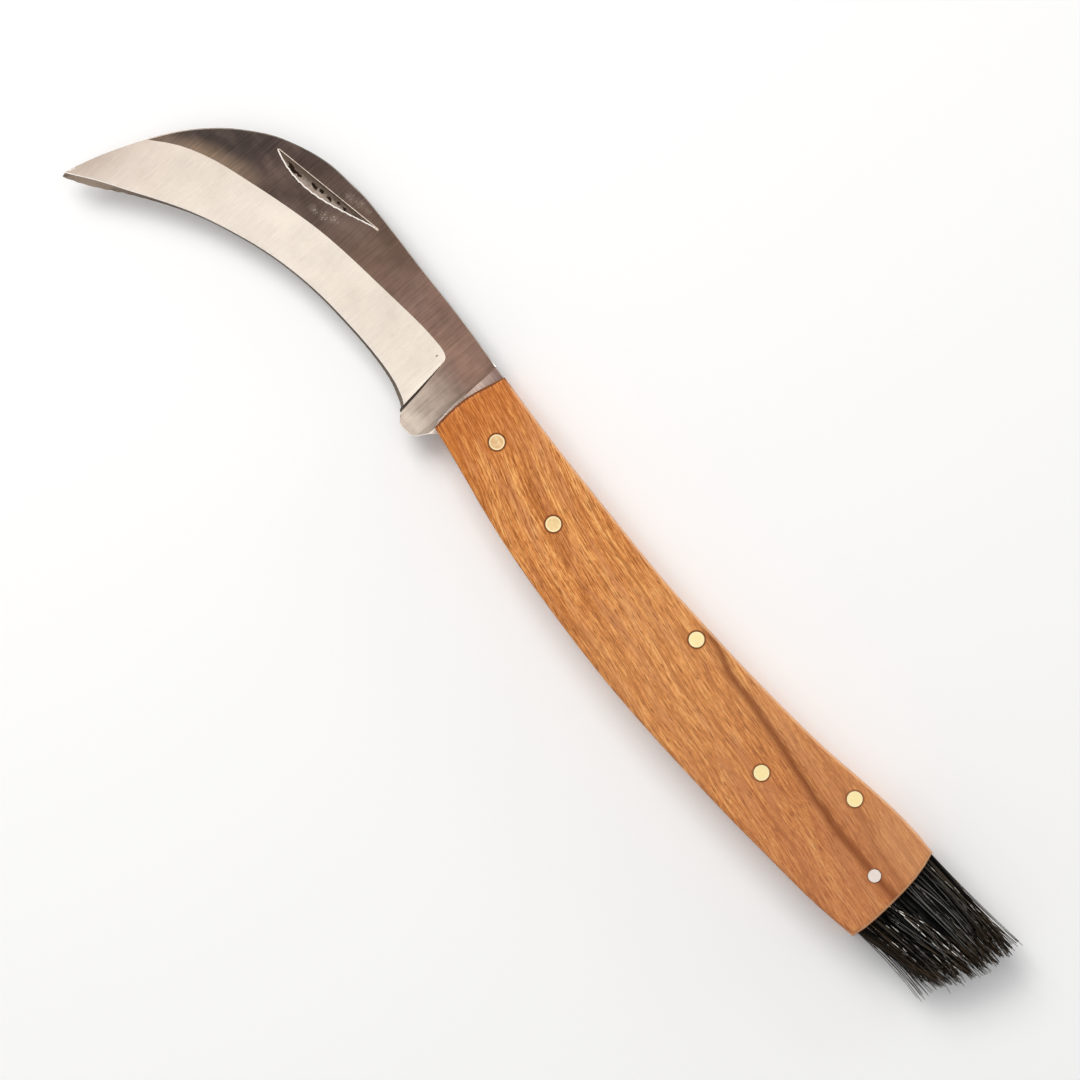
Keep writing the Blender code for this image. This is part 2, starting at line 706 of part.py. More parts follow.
def make_bristles(knife):
    """Strands drawn out of their slice of the block in loose tufts, each ending in a point."""
    low = belly(rear_end(0)) + BRUSH_BELLY_INSET
    high = back(rear_end(1)) - BRUSH_BACK_INSET
    tuft = bmesh.new()
    cells = bristle_slice(tuft, low, high)
    strands = bmesh.ops.extrude_discrete_faces(tuft, faces=cells)["faces"]
    chance = random.Random(BRISTLE_SEED)
    for strand in strands:
        root = strand.calc_center_median()
        share = (root.y - low) / (high - low)
        reach = BRISTLE_LENGTH - BRISTLE_BELLY_LOSS * (1 - share)
        reach -= BRISTLE_RAGGED * chance.random()
        draw_strand(tuft, strand, root, low, reach)
    bmesh.ops.recalc_face_normals(tuft, faces=tuft.faces)
    mesh = bpy.data.meshes.new("brush_bristles")
    tuft.to_mesh(mesh)
    tuft.free()
    finish(add_object("brush_bristles", mesh, knife), BRISTLE_BLACK)


def main():
    for old in list(bpy.data.objects):
        bpy.data.objects.remove(old)
    knife = new_collection("mushroom_knife")
    cutters = new_collection("cutters")

    places = {
        "pivot_pin": (0, 0),
        "centre_spring_pin": spring_pin_place(0),
        "rear_spring_pin": spring_pin_place(1),
        "front_rivet": pin_place(FRONT_RIVET_SHARES),
        "rear_rivet": pin_place(REAR_RIVET_SHARES),
        "brush_pin": pin_place(BRUSH_PIN_SHARES),
    }
    drills = {}
    for name, place in places.items():
        radius = BRUSH_PIN_RADIUS if name == "brush_pin" else PIN_RADIUS
        drill = cylinder(name + "_drill", place, radius + PIN_CLEARANCE, -PIN_OUTER, PIN_OUTER, cutters)
        drills[name] = as_cutter(drill)
    form = as_cutter(plate("handle_form", scale_outline(), -SCALE_OUTER, SCALE_OUTER, cutters))
    round_face(form, (SCALE_OUTER, -SCALE_OUTER))
    rebate = brush_rebate(cutters)

    make_blade(drills, knife, cutters)
    make_spring(drills, knife, cutters)
    for word, side in (("left", 1), ("right", -1)):
        make_side(word, side, drills, rebate, knife, cutters)
        low, high = sorted((side * SLOT_HALF, side * PIN_OUTER))
        for name in ("front_rivet", "rear_rivet"):
            full_name = word + "_" + name
            make_pin(full_name, places[name], PIN_RADIUS, low, high, PIN_BRASS, form, knife)
    for name in ("pivot_pin", "centre_spring_pin", "rear_spring_pin"):
        make_pin(name, places[name], PIN_RADIUS, -PIN_OUTER, PIN_OUTER, PIN_BRASS, form, knife)
    name = "brush_pin"
    make_pin(name, places[name], BRUSH_PIN_RADIUS, -PIN_OUTER, PIN_OUTER, PIN_STEEL, form, knife)
    make_block(drills, knife, cutters)
    make_bristles(knife)

    frame = bpy.data.objects.new("handle_frame", None)
    frame.location = (-ORIGIN_FROM_PIVOT, 0, SCALE_OUTER)
    for piece in list(knife.objects) + list(cutters.objects):
        piece.parent = frame
    knife.objects.link(frame)


main()
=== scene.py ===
"""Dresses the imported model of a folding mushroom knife: finishes, eased edges and a real brush."""

import math
import random

import bmesh
import bpy
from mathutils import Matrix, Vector


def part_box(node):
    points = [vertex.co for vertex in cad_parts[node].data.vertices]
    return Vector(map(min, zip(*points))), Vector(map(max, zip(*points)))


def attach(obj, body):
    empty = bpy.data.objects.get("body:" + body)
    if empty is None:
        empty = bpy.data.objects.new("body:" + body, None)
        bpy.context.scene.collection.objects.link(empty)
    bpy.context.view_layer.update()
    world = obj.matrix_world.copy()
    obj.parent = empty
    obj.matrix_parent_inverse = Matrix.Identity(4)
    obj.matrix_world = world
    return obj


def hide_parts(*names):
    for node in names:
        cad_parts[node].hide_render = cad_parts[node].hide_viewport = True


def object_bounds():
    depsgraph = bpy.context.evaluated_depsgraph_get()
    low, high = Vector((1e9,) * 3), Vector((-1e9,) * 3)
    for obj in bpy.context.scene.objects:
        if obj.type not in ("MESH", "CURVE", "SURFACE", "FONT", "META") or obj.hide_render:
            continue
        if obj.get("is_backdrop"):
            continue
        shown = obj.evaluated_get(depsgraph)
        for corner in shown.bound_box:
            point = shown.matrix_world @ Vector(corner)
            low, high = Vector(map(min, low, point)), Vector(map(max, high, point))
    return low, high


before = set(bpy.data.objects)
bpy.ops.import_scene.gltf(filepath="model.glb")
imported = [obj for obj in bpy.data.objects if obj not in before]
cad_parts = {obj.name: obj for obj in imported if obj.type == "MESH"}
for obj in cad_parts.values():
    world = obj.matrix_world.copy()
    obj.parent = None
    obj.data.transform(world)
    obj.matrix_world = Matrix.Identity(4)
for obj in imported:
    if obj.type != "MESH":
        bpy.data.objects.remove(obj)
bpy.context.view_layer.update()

# Camera, lamps and floor
# The knife lies on a white table, seen from straight above, with the blade up to the left.
# A large lamp hangs overhead, and one at the blade's side throws a soft shadow to the tail.
VIEW_MIDDLE = (-0.0261, -0.0058)
VIEW_DISTANCE = 1.5
VIEW_WIDTH = 0.1998
VIEW_ROLL = math.radians(49.11)
VIEW_END = 20.0
SENSOR_WIDTH = 36.0
KNIFE_TOP = 0.0135
# Each lamp: name, place, aim, width and depth, power, colour
LAMPS = (
    ("softbox", (-0.25, 0, 1.0), (-0.03, 0, 0), (1.0, 1.0), 3.2, (1.0, 0.98, 0.95)),
    ("side_lamp", (-0.65, 0.08, 0.75), (-0.03, 0, 0), (0.5, 0.5), 5.0, (1.0, 0.99, 0.97)),
    ("back_light", (0.2, 1.1, 0.25), (0, 0, 0), (0.5, 0.5), 1.8, (1.0, 0.99, 0.97)),
)
ROOM_COLOR = (0.97, 0.98, 1.0, 1)
ROOM_LEVEL = 0.38
FLOOR_SIZE = 3.0
FLOOR_COLOR = (0.94, 0.94, 0.94, 1)
FLOOR_ROUGHNESS = 0.7
FLOOR_GLOW = 0.035

lens = bpy.data.cameras.new("view")
lens.sensor_width = SENSOR_WIDTH
lens.lens = SENSOR_WIDTH * VIEW_DISTANCE / VIEW_WIDTH
lens.clip_end = VIEW_END
camera = bpy.data.objects.new("view", lens)
camera.location = (*VIEW_MIDDLE, KNIFE_TOP + VIEW_DISTANCE)
camera.rotation_euler = (0, 0, VIEW_ROLL)
bpy.context.scene.collection.objects.link(camera)
bpy.context.scene.camera = camera
bpy.context.scene.view_settings.view_transform = "Standard"

for name, place, aim, size, power, color in LAMPS:
    lamp = bpy.data.lights.new(name, "AREA")
    lamp.shape = "RECTANGLE"
    lamp.size, lamp.size_y = size
    lamp.energy = power
    lamp.color = color
    holder = bpy.data.objects.new(name, lamp)
    holder.location = place
    holder.rotation_euler = (Vector(aim) - Vector(place)).to_track_quat("-Z", "Y").to_euler()
    bpy.context.scene.collection.objects.link(holder)

world = bpy.data.worlds.new("room")
world.use_nodes = True
bpy.context.scene.world = world
world.node_tree.nodes["Background"].inputs["Color"].default_value = ROOM_COLOR
world.node_tree.nodes["Background"].inputs["Strength"].default_value = ROOM_LEVEL


def add_node(tree, kind, inputs=None, **settings):
    """Adds a shader node, with each input set to a value or joined to another node's output."""
    item = tree.nodes.new(kind)
    for key, value in settings.items():
        setattr(item, key, value)
    for socket, value in (inputs or {}).items():
        if isinstance(value, bpy.types.NodeSocket):
            tree.links.new(value, item.inputs[socket])
        else:
            item.inputs[socket].default_value = value
    return item


def reckon(tree, operation, *values):
    """Output of a sum on values or on other nodes' outputs."""
    return add_node(tree, "ShaderNodeMath", dict(enumerate(values)), operation=operation).outputs[0]


def new_material(name, roughness, metallic=0.0):
    """Material, its tree, its shader, and the place of each point on the knife."""
    material = bpy.data.materials.new(name)
    material.use_nodes = True
    tree = material.node_tree
    shader = tree.nodes["Principled BSDF"]
    shader.inputs["Roughness"].default_value = roughness
    shader.inputs["Metallic"].default_value = metallic
    return material, tree, shader, add_node(tree, "ShaderNodeTexCoord").outputs["Object"]


shape = bmesh.new()
bmesh.ops.create_grid(shape, x_segments=1, y_segments=1, size=FLOOR_SIZE)
mesh = bpy.data.meshes.new("floor")
shape.to_mesh(mesh)
shape.free()
floor = bpy.data.objects.new("floor", mesh)
bpy.context.scene.collection.objects.link(floor)
material, tree, shader, place = new_material("floor", FLOOR_ROUGHNESS)
shader.inputs["Base Color"].default_value = FLOOR_COLOR
shader.inputs["Emission Color"].default_value = (1, 1, 1, 1)
ray = add_node(tree, "ShaderNodeLightPath").outputs
seen = reckon(tree, "MAXIMUM", ray["Is Camera Ray"], ray["Is Glossy Ray"])
seen = reckon(tree, "MAXIMUM", seen, ray["Is Transmission Ray"])
tree.links.new(reckon(tree, "MULTIPLY", seen, FLOOR_GLOW), shader.inputs["Emission Strength"])
mesh.materials.append(material)
floor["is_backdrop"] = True

# Back spring and liners
# Hardened spring steel between two thin steel liners, ground flat and deburred.
# The liners follow the scales, and their edges show as two bright lines along the back.

# Plates: width of the eased edges, and the turn in degrees from which an edge is eased
PLATE_EASE = 0.00008
PLATE_CORNER = 50
PLATE_ROUGHNESS = 0.36
PLATES = (
    ("back_spring", "spring_steel", (0.50, 0.48, 0.46)),
    ("left_liner", "liner_steel", (0.60, 0.59, 0.57)),
    ("right_liner", "liner_steel", (0.60, 0.59, 0.57)),
)
# CAD faces: gap between corners that are one, and turn between faces that are one
MERGE_GAP = 0.000001
MERGE_TURN = math.radians(0.05)
# Grinding lines: width, length and cloud, then how they change tone, gloss and relief
GRIND_LINE = 0.00034
GRIND_LENGTH = 0.009
GRIND_CLOUD = 0.006
GRIND_TONE = (0.75, 1.25)
GRIND_CONTRAST = 0.13
GRIND_DULL = (0.3, 0.7)
GRIND_GLOSS = (-0.04, 0.06)
GRIND_RELIEF = 0.08
GRIND_DEPTH = 0.00004


def merged_copy(node):
    """Copy of a CAD node's shape with its loose triangles joined into whole faces."""
    shape = bmesh.new()
    shape.from_mesh(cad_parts[node].data)
    bmesh.ops.remove_doubles(shape, verts=shape.verts, dist=MERGE_GAP)
    bmesh.ops.dissolve_limit(
        shape, angle_limit=MERGE_TURN, verts=shape.verts, edges=shape.edges, delimit={"NORMAL"}
    )
    return shape


def sharp_edges(shape, degrees):
    """Edges where the surface turns by more than an angle."""
    limit = math.radians(degrees)
    return [edge for edge in shape.edges if edge.is_manifold and edge.calc_face_angle(0) > limit]


def ease(shape, edges, width, clamp=True):
    """Takes the sharpness off edges, and gives the new faces."""
    return bmesh.ops.bevel(
        shape,
        geom=edges,
        offset=width,
        offset_type="OFFSET",
        segments=1,
        profile=0.5,
        affect="EDGES",
        clamp_overlap=clamp,
        material=-1,
    )["faces"]


def add_piece(name, shape, materials, body, nodes, smooth=35):
    """Finished piece, riding on its body in place of its CAD nodes, crisp where finishes meet."""
    for face in shape.faces:
        face.smooth = True
    for edge in shape.edges:
        finishes = {face.material_index for face in edge.link_faces}
        turn = edge.calc_face_angle(0) if edge.is_manifold else 0
        edge.smooth = turn < math.radians(smooth) and len(finishes) < 2
    mesh = bpy.data.meshes.new(name)
    shape.to_mesh(mesh)
    shape.free()
    for material in materials:
        mesh.materials.append(material)
    piece = bpy.data.objects.new(name, mesh)
    bpy.context.scene.collection.objects.link(piece)
    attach(piece, body)
    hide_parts(*nodes)


def spread(tree, value, low, high, start=0.0, end=1.0, kind="SMOOTHSTEP"):
    """Turns a value between two marks into one from start to end."""
    inputs = {"Value": value, "From Min": low, "From Max": high, "To Min": start, "To Max": end}
    return add_node(tree, "ShaderNodeMapRange", inputs, interpolation_type=kind).outputs["Result"]


def tinted(tree, share, color, tint):
    """Color moved towards a tint by a share."""
    return add_node(tree, "ShaderNodeMix", {0: share, 6: color, 7: tint}, data_type="RGBA").outputs[2]


def vector(tree, operation, *values):
    """Node for a sum on places or directions."""
    return add_node(tree, "ShaderNodeVectorMath", dict(enumerate(values)), operation=operation)


def grains(tree, place, sizes, detail=3.0, rough=0.55):
    """Noise from 0 to 1 whose grains have the given size along X, Y and Z."""
    scaled = vector(tree, "MULTIPLY", place, [1 / size for size in sizes])
    inputs = {"Vector": scaled.outputs[0], "Scale": 1.0, "Detail": detail, "Roughness": rough}
    return add_node(tree, "ShaderNodeTexNoise", inputs).outputs["Fac"]


def marks(tree, place, spots, core=0.5):
    """Oval marks, each given by its middle and by its half length and half width, solid in the core."""
    found = 0.0
    for x, y, long, wide in spots:
        away = vector(tree, "SUBTRACT", place, (x, y, 0)).outputs[0]
        away = vector(tree, "MULTIPLY", away, (1 / long, 1 / wide, 0)).outputs[0]
        away = vector(tree, "LENGTH", away).outputs["Value"]
        found = reckon(tree, "MAXIMUM", found, spread(tree, away, 1.0, core))
    return found


def add_relief(tree, shader, height, strength, depth, sunk=False):
    """Makes light and dark of a pattern stand up from a surface, or sink into it."""
    inputs = {"Height": height, "Strength": strength, "Distance": depth}
    bump = add_node(tree, "ShaderNodeBump", inputs, invert=sunk)
    tree.links.new(bump.outputs["Normal"], shader.inputs["Normal"])


def brushed(tree, shader, place, color, roughness, along, strength=1.0):
    """Fine grinding lines along X or Y, in the tone, gloss and relief of a metal."""
    sizes = [GRIND_LINE] * 3
    sizes["XY".index(along)] = GRIND_LENGTH
    lines = grains(tree, place, sizes, rough=0.6)
    tone = reckon(tree, "ADD", lines, grains(tree, place, [GRIND_CLOUD] * 3))
    change = GRIND_CONTRAST * strength
    level = spread(tree, tone, *GRIND_TONE, 1 - change, 1 + change, "LINEAR")
    shade = add_node(tree, "ShaderNodeVectorMath", {0: color, "Scale": level}, operation="SCALE")
    tree.links.new(shade.outputs[0], shader.inputs["Base Color"])
    gloss = spread(tree, lines, *GRIND_DULL, *(roughness + extra for extra in GRIND_GLOSS))
    tree.links.new(gloss, shader.inputs["Roughness"])
    add_relief(tree, shader, lines, GRIND_RELIEF * strength, GRIND_DEPTH)


def steel(name, color, roughness, along, strength=1.0):
    """Brushed steel of one tone."""
    material, tree, shader, place = new_material(name, roughness, 1.0)
    brushed(tree, shader, place, color, roughness, along, strength)
    return material


for node, slot, color in PLATES:
    shape = merged_copy(node)
    ease(shape, sharp_edges(shape, PLATE_CORNER), PLATE_EASE)
    metal = steel(node, color, PLATE_ROUGHNESS, "X")
    add_piece(node + "_finish", shape, [metal], "handle", [node])

# Blade
# Hawkbill blade of stainless steel, ground bright from the heel to the tip, then sharpened; the bevel's
# brightness and the flats' darkness are partly their finish and partly painted reflection.
# The flats carry the nail nick, the tang is brushed lengthwise, and the rim is chamfered, with painted
# highlights on its eased edges.
BLADE_CORNER = 60
BLADE_ROUGHNESS = 0.3
# Chamfer of the rim: width and depth. Eased edges at the nick and at the strip, which carry a painted
# highlight: widths
RIM_EASE = 0.0002
RIM_DROP = 0.00007
NICK_EASE = 0.00013
STRIP_EASE = 0.0001
# Sharpening has worn the strip wider towards the tip
WORN_WIDTH = 0.0002
WORN_START = -0.112
WORN_LENGTH = 0.016
# Places along the blade, and the height of the kick's top
TIP_END = -0.1352
GUARD_END = -0.0538
GUARD_WIDTH = 0.007
HEEL = -0.0625
KICK_TOP = -0.0078
# How a face of the blade is told: how far it faces up or down, where it lies, how high it lies
LEVEL_FACE = 0.9999
UPRIGHT_FACE = 0.05
BEVEL_FACE = 0.985
PLUNGE_FACE = -0.5
KICK_FACE = -0.3
TANG_HEIGHT = 0.0011
STEP_AWAY = 0.0035
NICK_ENDS = (-0.1145, -0.088)
NICK_LOW = 0.0034
NICK_HEIGHT = 0.00105
# Tones, each with its share of the span. Flats and bevel run from the tip to the guard, the rim
# along its brighter stretch, and guard, tang, step and plunge from the belly to the back.
# Painted reflection along the flats, on top of their darker satin: dark towards the tip, light towards the
# guard
FLAT_TONES = (
    (0.0, (0.038, 0.030, 0.027, 1)), (0.22, (0.053, 0.040, 0.036, 1)), (0.30, (0.0585, 0.040, 0.035, 1)),
    (0.45, (0.078, 0.0535, 0.044, 1)), (0.60, (0.117, 0.074, 0.056, 1)), (0.70, (0.166, 0.104, 0.080, 1)),
    (0.78, (0.190, 0.116, 0.090, 1)), (0.90, (0.208, 0.128, 0.097, 1)),
)
GUARD_RISE = (-0.011, 0.003)
GUARD_BLEND = 0.001
# Painted reflection by the guard: pale at the belly, darker towards the back
GUARD_TONES = (
    (0.0, (0.52, 0.44, 0.37, 1)), (0.12, (0.48, 0.41, 0.345, 1)), (0.30, (0.41, 0.34, 0.285, 1)),
    (0.50, (0.365, 0.295, 0.245, 1)), (0.75, (0.30, 0.225, 0.18, 1)), (1.0, (0.205, 0.126, 0.097, 1)),
)
# The bevel's own bright ground finish, with a painted reflection that darkens it towards the tip
BEVEL_TONES = (
    (0.0, (0.44, 0.36, 0.30, 1)), (0.08, (0.60, 0.52, 0.46, 1)), (0.22, (0.62, 0.545, 0.475, 1)),
    (0.32, (0.67, 0.60, 0.53, 1)), (0.45, (0.655, 0.59, 0.52, 1)), (1.0, (0.635, 0.562, 0.49, 1)),
)
STEP_ROUGHNESS = 0.35
# Painted highlight on the rim's chamfer: dark towards the tip, bright towards the heel
RIM_SPAN = (-0.108, -0.088)
RIM_TONES = ((0.0, (0.17, 0.14, 0.12, 1)), (1.0, (0.80, 0.74, 0.68, 1)))
TANG_SPAN = (-0.0076, 0.0084)
TANG_TONES = (
    (0.0, (0.48, 0.41, 0.35, 1)), (0.09, (0.43, 0.33, 0.29, 1)),
    (0.72, (0.43, 0.33, 0.29, 1)), (1.0, (0.21, 0.14, 0.12, 1)),
)
# Painted highlight and shade on the step: pale at the belly, dark towards the back
STEP_RISE = (-0.005, 0.002)
STEP_TONES = ((0.0, (0.60, 0.52, 0.45, 1)), (1.0, (0.12, 0.075, 0.055, 1)))
# Painted shade on the plunge, darkest at the belly
PLUNGE_RISE = (-0.003, 0.0025)
PLUNGE_TONES = ((0.0, (0.09, 0.07, 0.055, 1)), (1.0, (0.24, 0.16, 0.12, 1)))
STRIP_COLOR = (0.30, 0.235, 0.185)
STRIP_ROUGHNESS = 0.32
# Faint cloud on the bevel
BEVEL_CLOUD = (0.50, 0.42, 0.35, 1)
CLOUD_GRAINS = (0.006, 0.004, 0.004)
CLOUD_SPAN = (0.52, 0.75)
CLOUD_SHARE = 0.16
# Foot of the step: its slant along the blade, where its shade begins and ends, the shade's share
STEP_SLANT = 0.045
STEP_FOOT = (-0.0568, -0.0555)
STEP_SHADE = 0.4
STEP_DARK = (0.085, 0.058, 0.045, 1)
# Slope and height of the nick's straight side, how far an edge may lie below it and still be
# straight, and the middle and reach of the nick
NICK_LINE = (0.1786, 0.02509)
NICK_LEEWAY = 0.00005
NICK_REACH = ((-0.1010, 0.0070, 0.0122, 0.01),)
NICK_REACH_CORE = 0.97
# Painted highlight along the nick's straight side: its colour, the width over which it fades, and its share
NICK_HIGHLIGHT = (0.62, 0.52, 0.44, 1)
NICK_HIGHLIGHT_EDGE = (0.00030, 0.00014)
NICK_HIGHLIGHT_SHARE = 0.85
# Pale, dull colour of the eased edges at the nick, the kick and the strip, standing as a painted highlight
EDGE_HIGHLIGHT_COLOR = (0.86, 0.79, 0.73, 1)
EDGE_HIGHLIGHT_ROUGHNESS = 0.6
# Floor of the nick: its grains, how far they shift the paler part, and how they break up the marks
NICK_ROUGHNESS = 0.5
# Nick colours: a painted shade by its straight side, the paler tone further from it, and the dark marks
NICK_SHADED_COLOR = (0.125, 0.090, 0.068, 1)
NICK_PALE = (0.33, 0.265, 0.22, 1)
NICK_DARK = (0.022, 0.014, 0.009, 1)
NICK_GRAINS = (0.0012, 0.0006, 0.0006)
NICK_RAGGED = 0.002
NICK_PALE_EDGE = (0.0016, 0.0028)
NICK_MARK_BREAK = -2.4
NICK_MARK_LEVEL = 1.2
NICK_MARK_EDGE = (0.30, 0.55)
NICK_RELIEF = 0.5
NICK_DEPTH = 0.0001
# Dark marks in the nick, patches of bright pits beside it, and a pit by the heel
NICK_MARKS = (
    (-0.1083, 0.0046, 0.0030, 0.0008), (-0.1031, 0.0055, 0.0014, 0.0007), (-0.1016, 0.0059, 0.0010, 0.0007),
    (-0.0995, 0.0061, 0.0011, 0.0005), (-0.0978, 0.0069, 0.0007, 0.0005), (-0.0963, 0.0070, 0.0008, 0.0005),
)
PIT_PATCHES = (
    (-0.1002, 0.0026, 0.0016, 0.0010), (-0.0978, 0.0032, 0.0015, 0.0012), (-0.0961, 0.0043, 0.0014, 0.0010),
    (-0.0972, 0.0092, 0.0018, 0.0011), (-0.0950, 0.0098, 0.0018, 0.0012), (-0.0932, 0.0100, 0.0012, 0.0010),
)
HEEL_PIT = ((-0.0645, 0.0021, 0.0002, 0.00033),)
PIT_DARK = (0.20, 0.18, 0.14, 1)
# Where the grind begins near the tip: share of the way from the spine to the nick, share of the rise
GRIND_START = (-0.1302, -0.0125)
GRIND_SPAN = (0.0302, 0.0125)
GRIND_PATH = ((0.0, 0.0), (0.14, 0.28), (0.26, 0.45), (0.39, 0.58), (0.63, 0.77), (1.0, 1.0))
# Warm light above the grind: how high it reaches, where it ends towards the handle and the tip
GRIND_GLOW = (0.195, 0.136, 0.096, 1)
GLOW_HEIGHT = 0.0042
GLOW_END = (-0.106, -0.120)
GLOW_BUILD = (-0.1265, -0.1205)
GLOW_SHARES = (0.45, 1.15)
# Faint mist on the flats
FLAT_MIST = (0.17, 0.12, 0.10, 1)
MIST_GRAINS = (0.010, 0.004, 0.004)
MIST_SPAN = (0.42, 0.70)
MIST_SHARE = 0.30
# Bright pits: spacing, rim as a share of it, haze around them, and where they grow fewer
PIT_SPACING = 0.00045
PIT_RIM = (0.34, 0.16)
PIT_COLOR = (0.40, 0.34, 0.28, 1)
PIT_HAZE = (0.24, 0.19, 0.15, 1)
PIT_HAZE_SHARE = 0.22
PIT_PATCH_CORE = 0.1
PIT_FADE = (0.0070, 0.0085)
PIT_FADE_SHARES = (1.0, 0.5)


def ramp(tree, share, tones):
    """Colour between tones, each given with its share."""
    item = add_node(tree, "ShaderNodeValToRGB", {"Fac": share})
    stops = item.color_ramp.elements
    stops[0].position, stops[0].color = tones[0]
    stops[1].position, stops[1].color = tones[-1]
    for position, color in tones[1:-1]:
        stops.new(position).color = color
    return item.outputs["Color"]


def curve_level(tree, x, start, span, path):
    """Height along Y of a line that is drawn along X."""
    share = spread(tree, x, start[0], start[0] + span[0], 0.0, 1.0, "LINEAR")
    item = add_node(tree, "ShaderNodeFloatCurve", {"Value": share})
    curve = item.mapping.curves[0]
    curve.points[0].location = path[0]
    curve.points[1].location = path[-1]
    for point in path[1:-1]:
        curve.points.new(*point)
    item.mapping.update()
    return reckon(tree, "MULTIPLY_ADD", item.outputs["Value"], span[1], start[1])


def flats():
    """Flats, dark partly by their satin and partly by a painted reflection: light at the guard, dark round
    the nick, with painted warm light above the grind at the tip and a painted highlight along the nick.
    """
    material, tree, shader, place = new_material("blade_flat", BLADE_ROUGHNESS, 1.0)
    parts = add_node(tree, "ShaderNodeSeparateXYZ", {0: place}).outputs
    color = ramp(tree, spread(tree, parts["X"], TIP_END, GUARD_END, kind="LINEAR"), FLAT_TONES)
    guard = ramp(tree, spread(tree, parts["Y"], *GUARD_RISE, kind="LINEAR"), GUARD_TONES)
    color = tinted(tree, spread(tree, parts["X"], HEEL - GUARD_BLEND, HEEL), color, guard)
    grind = curve_level(tree, parts["X"], GRIND_START, GRIND_SPAN, GRIND_PATH)
    glow = spread(tree, reckon(tree, "SUBTRACT", parts["Y"], grind), GLOW_HEIGHT, 0.0)
    glow = reckon(tree, "MULTIPLY", glow, spread(tree, parts["X"], *GLOW_END))
    glow = reckon(tree, "MULTIPLY", glow, spread(tree, parts["X"], *GLOW_BUILD, *GLOW_SHARES))
    color = tinted(tree, glow, color, GRIND_GLOW)
    mist = spread(tree, grains(tree, place, MIST_GRAINS), *MIST_SPAN, 0.0, MIST_SHARE)
    color = tinted(tree, mist, color, FLAT_MIST)
    dots = add_node(tree, "ShaderNodeTexVoronoi", {"Vector": place, "Scale": 1 / PIT_SPACING})
    pitted = marks(tree, place, PIT_PATCHES, PIT_PATCH_CORE)
    color = tinted(tree, reckon(tree, "MULTIPLY", pitted, PIT_HAZE_SHARE), color, PIT_HAZE)
    pits = reckon(tree, "MULTIPLY", spread(tree, dots.outputs["Distance"], *PIT_RIM), pitted)
    pits = reckon(tree, "MULTIPLY", pits, spread(tree, parts["Y"], *PIT_FADE, *PIT_FADE_SHARES))
    color = tinted(tree, pits, color, PIT_COLOR)
    # Painted highlight along the nick's straight side, within the nick's reach
    line = reckon(tree, "MULTIPLY_ADD", parts["X"], *NICK_LINE)
    away = reckon(tree, "ABSOLUTE", reckon(tree, "SUBTRACT", parts["Y"], line))
    nick_highlight = spread(tree, away, *NICK_HIGHLIGHT_EDGE, 0.0, NICK_HIGHLIGHT_SHARE)
    nick_highlight = reckon(tree, "MULTIPLY", nick_highlight, marks(tree, place, NICK_REACH, NICK_REACH_CORE))
    color = tinted(tree, nick_highlight, color, NICK_HIGHLIGHT)
    slanted = reckon(tree, "MULTIPLY_ADD", parts["Y"], STEP_SLANT, parts["X"])
    color = tinted(tree, spread(tree, slanted, *STEP_FOOT, 0.0, STEP_SHADE), color, STEP_DARK)
    brushed(tree, shader, place, color, BLADE_ROUGHNESS, "Y", strength=2.0)
    return material


def bevels():
    """Bright ground bevel with a painted reflection that makes it darker and warmer at the tip, a faint
    cloud and one small pit by the heel.
    """
    material, tree, shader, place = new_material("blade_bevel", BLADE_ROUGHNESS, 1.0)
    x = add_node(tree, "ShaderNodeSeparateXYZ", {0: place}).outputs["X"]
    color = ramp(tree, spread(tree, x, TIP_END, GUARD_END, kind="LINEAR"), BEVEL_TONES)
    cloud = spread(tree, grains(tree, place, CLOUD_GRAINS, detail=4.0), *CLOUD_SPAN, 0.0, CLOUD_SHARE)
    color = tinted(tree, cloud, color, BEVEL_CLOUD)
    color = tinted(tree, marks(tree, place, HEEL_PIT), color, PIT_DARK)
    brushed(tree, shader, place, color, BLADE_ROUGHNESS, "Y", strength=0.6)
    return material


def graded(name, tones, span, along="Y", strength=0.5, axis="Y"):
    """Brushed face whose tone changes along or up the blade."""
    material, tree, shader, place = new_material(name, STEP_ROUGHNESS, 1.0)
    mark = add_node(tree, "ShaderNodeSeparateXYZ", {0: place}).outputs[axis]
    color = ramp(tree, spread(tree, mark, *span, kind="LINEAR"), tones)
    brushed(tree, shader, place, color, STEP_ROUGHNESS, along, strength)
    return material


def nick_walls():
    """Stamped nail nick: rough grey metal with a painted shade by its straight side, paler away from it,
    with dark marks.
    """
    material, tree, shader, place = new_material("nick", NICK_ROUGHNESS, 1.0)
    pits = grains(tree, place, NICK_GRAINS, rough=0.6)
    parts = add_node(tree, "ShaderNodeSeparateXYZ", {0: place}).outputs
    line = reckon(tree, "MULTIPLY_ADD", parts["X"], *NICK_LINE)
    below = reckon(tree, "SUBTRACT", line, parts["Y"])
    below = reckon(tree, "MULTIPLY_ADD", pits, NICK_RAGGED, below)
    # Painted shade by the straight side, giving way to the paler tone further from it
    color = tinted(tree, spread(tree, below, *NICK_PALE_EDGE), NICK_SHADED_COLOR, NICK_PALE)
    dark = reckon(tree, "ADD", marks(tree, place, NICK_MARKS, 0.0), NICK_MARK_LEVEL)
    dark = reckon(tree, "MULTIPLY_ADD", pits, NICK_MARK_BREAK, dark)
    color = tinted(tree, spread(tree, dark, *NICK_MARK_EDGE), color, NICK_DARK)
    tree.links.new(color, shader.inputs["Base Color"])
    add_relief(tree, shader, pits, NICK_RELIEF, NICK_DEPTH)
    return material


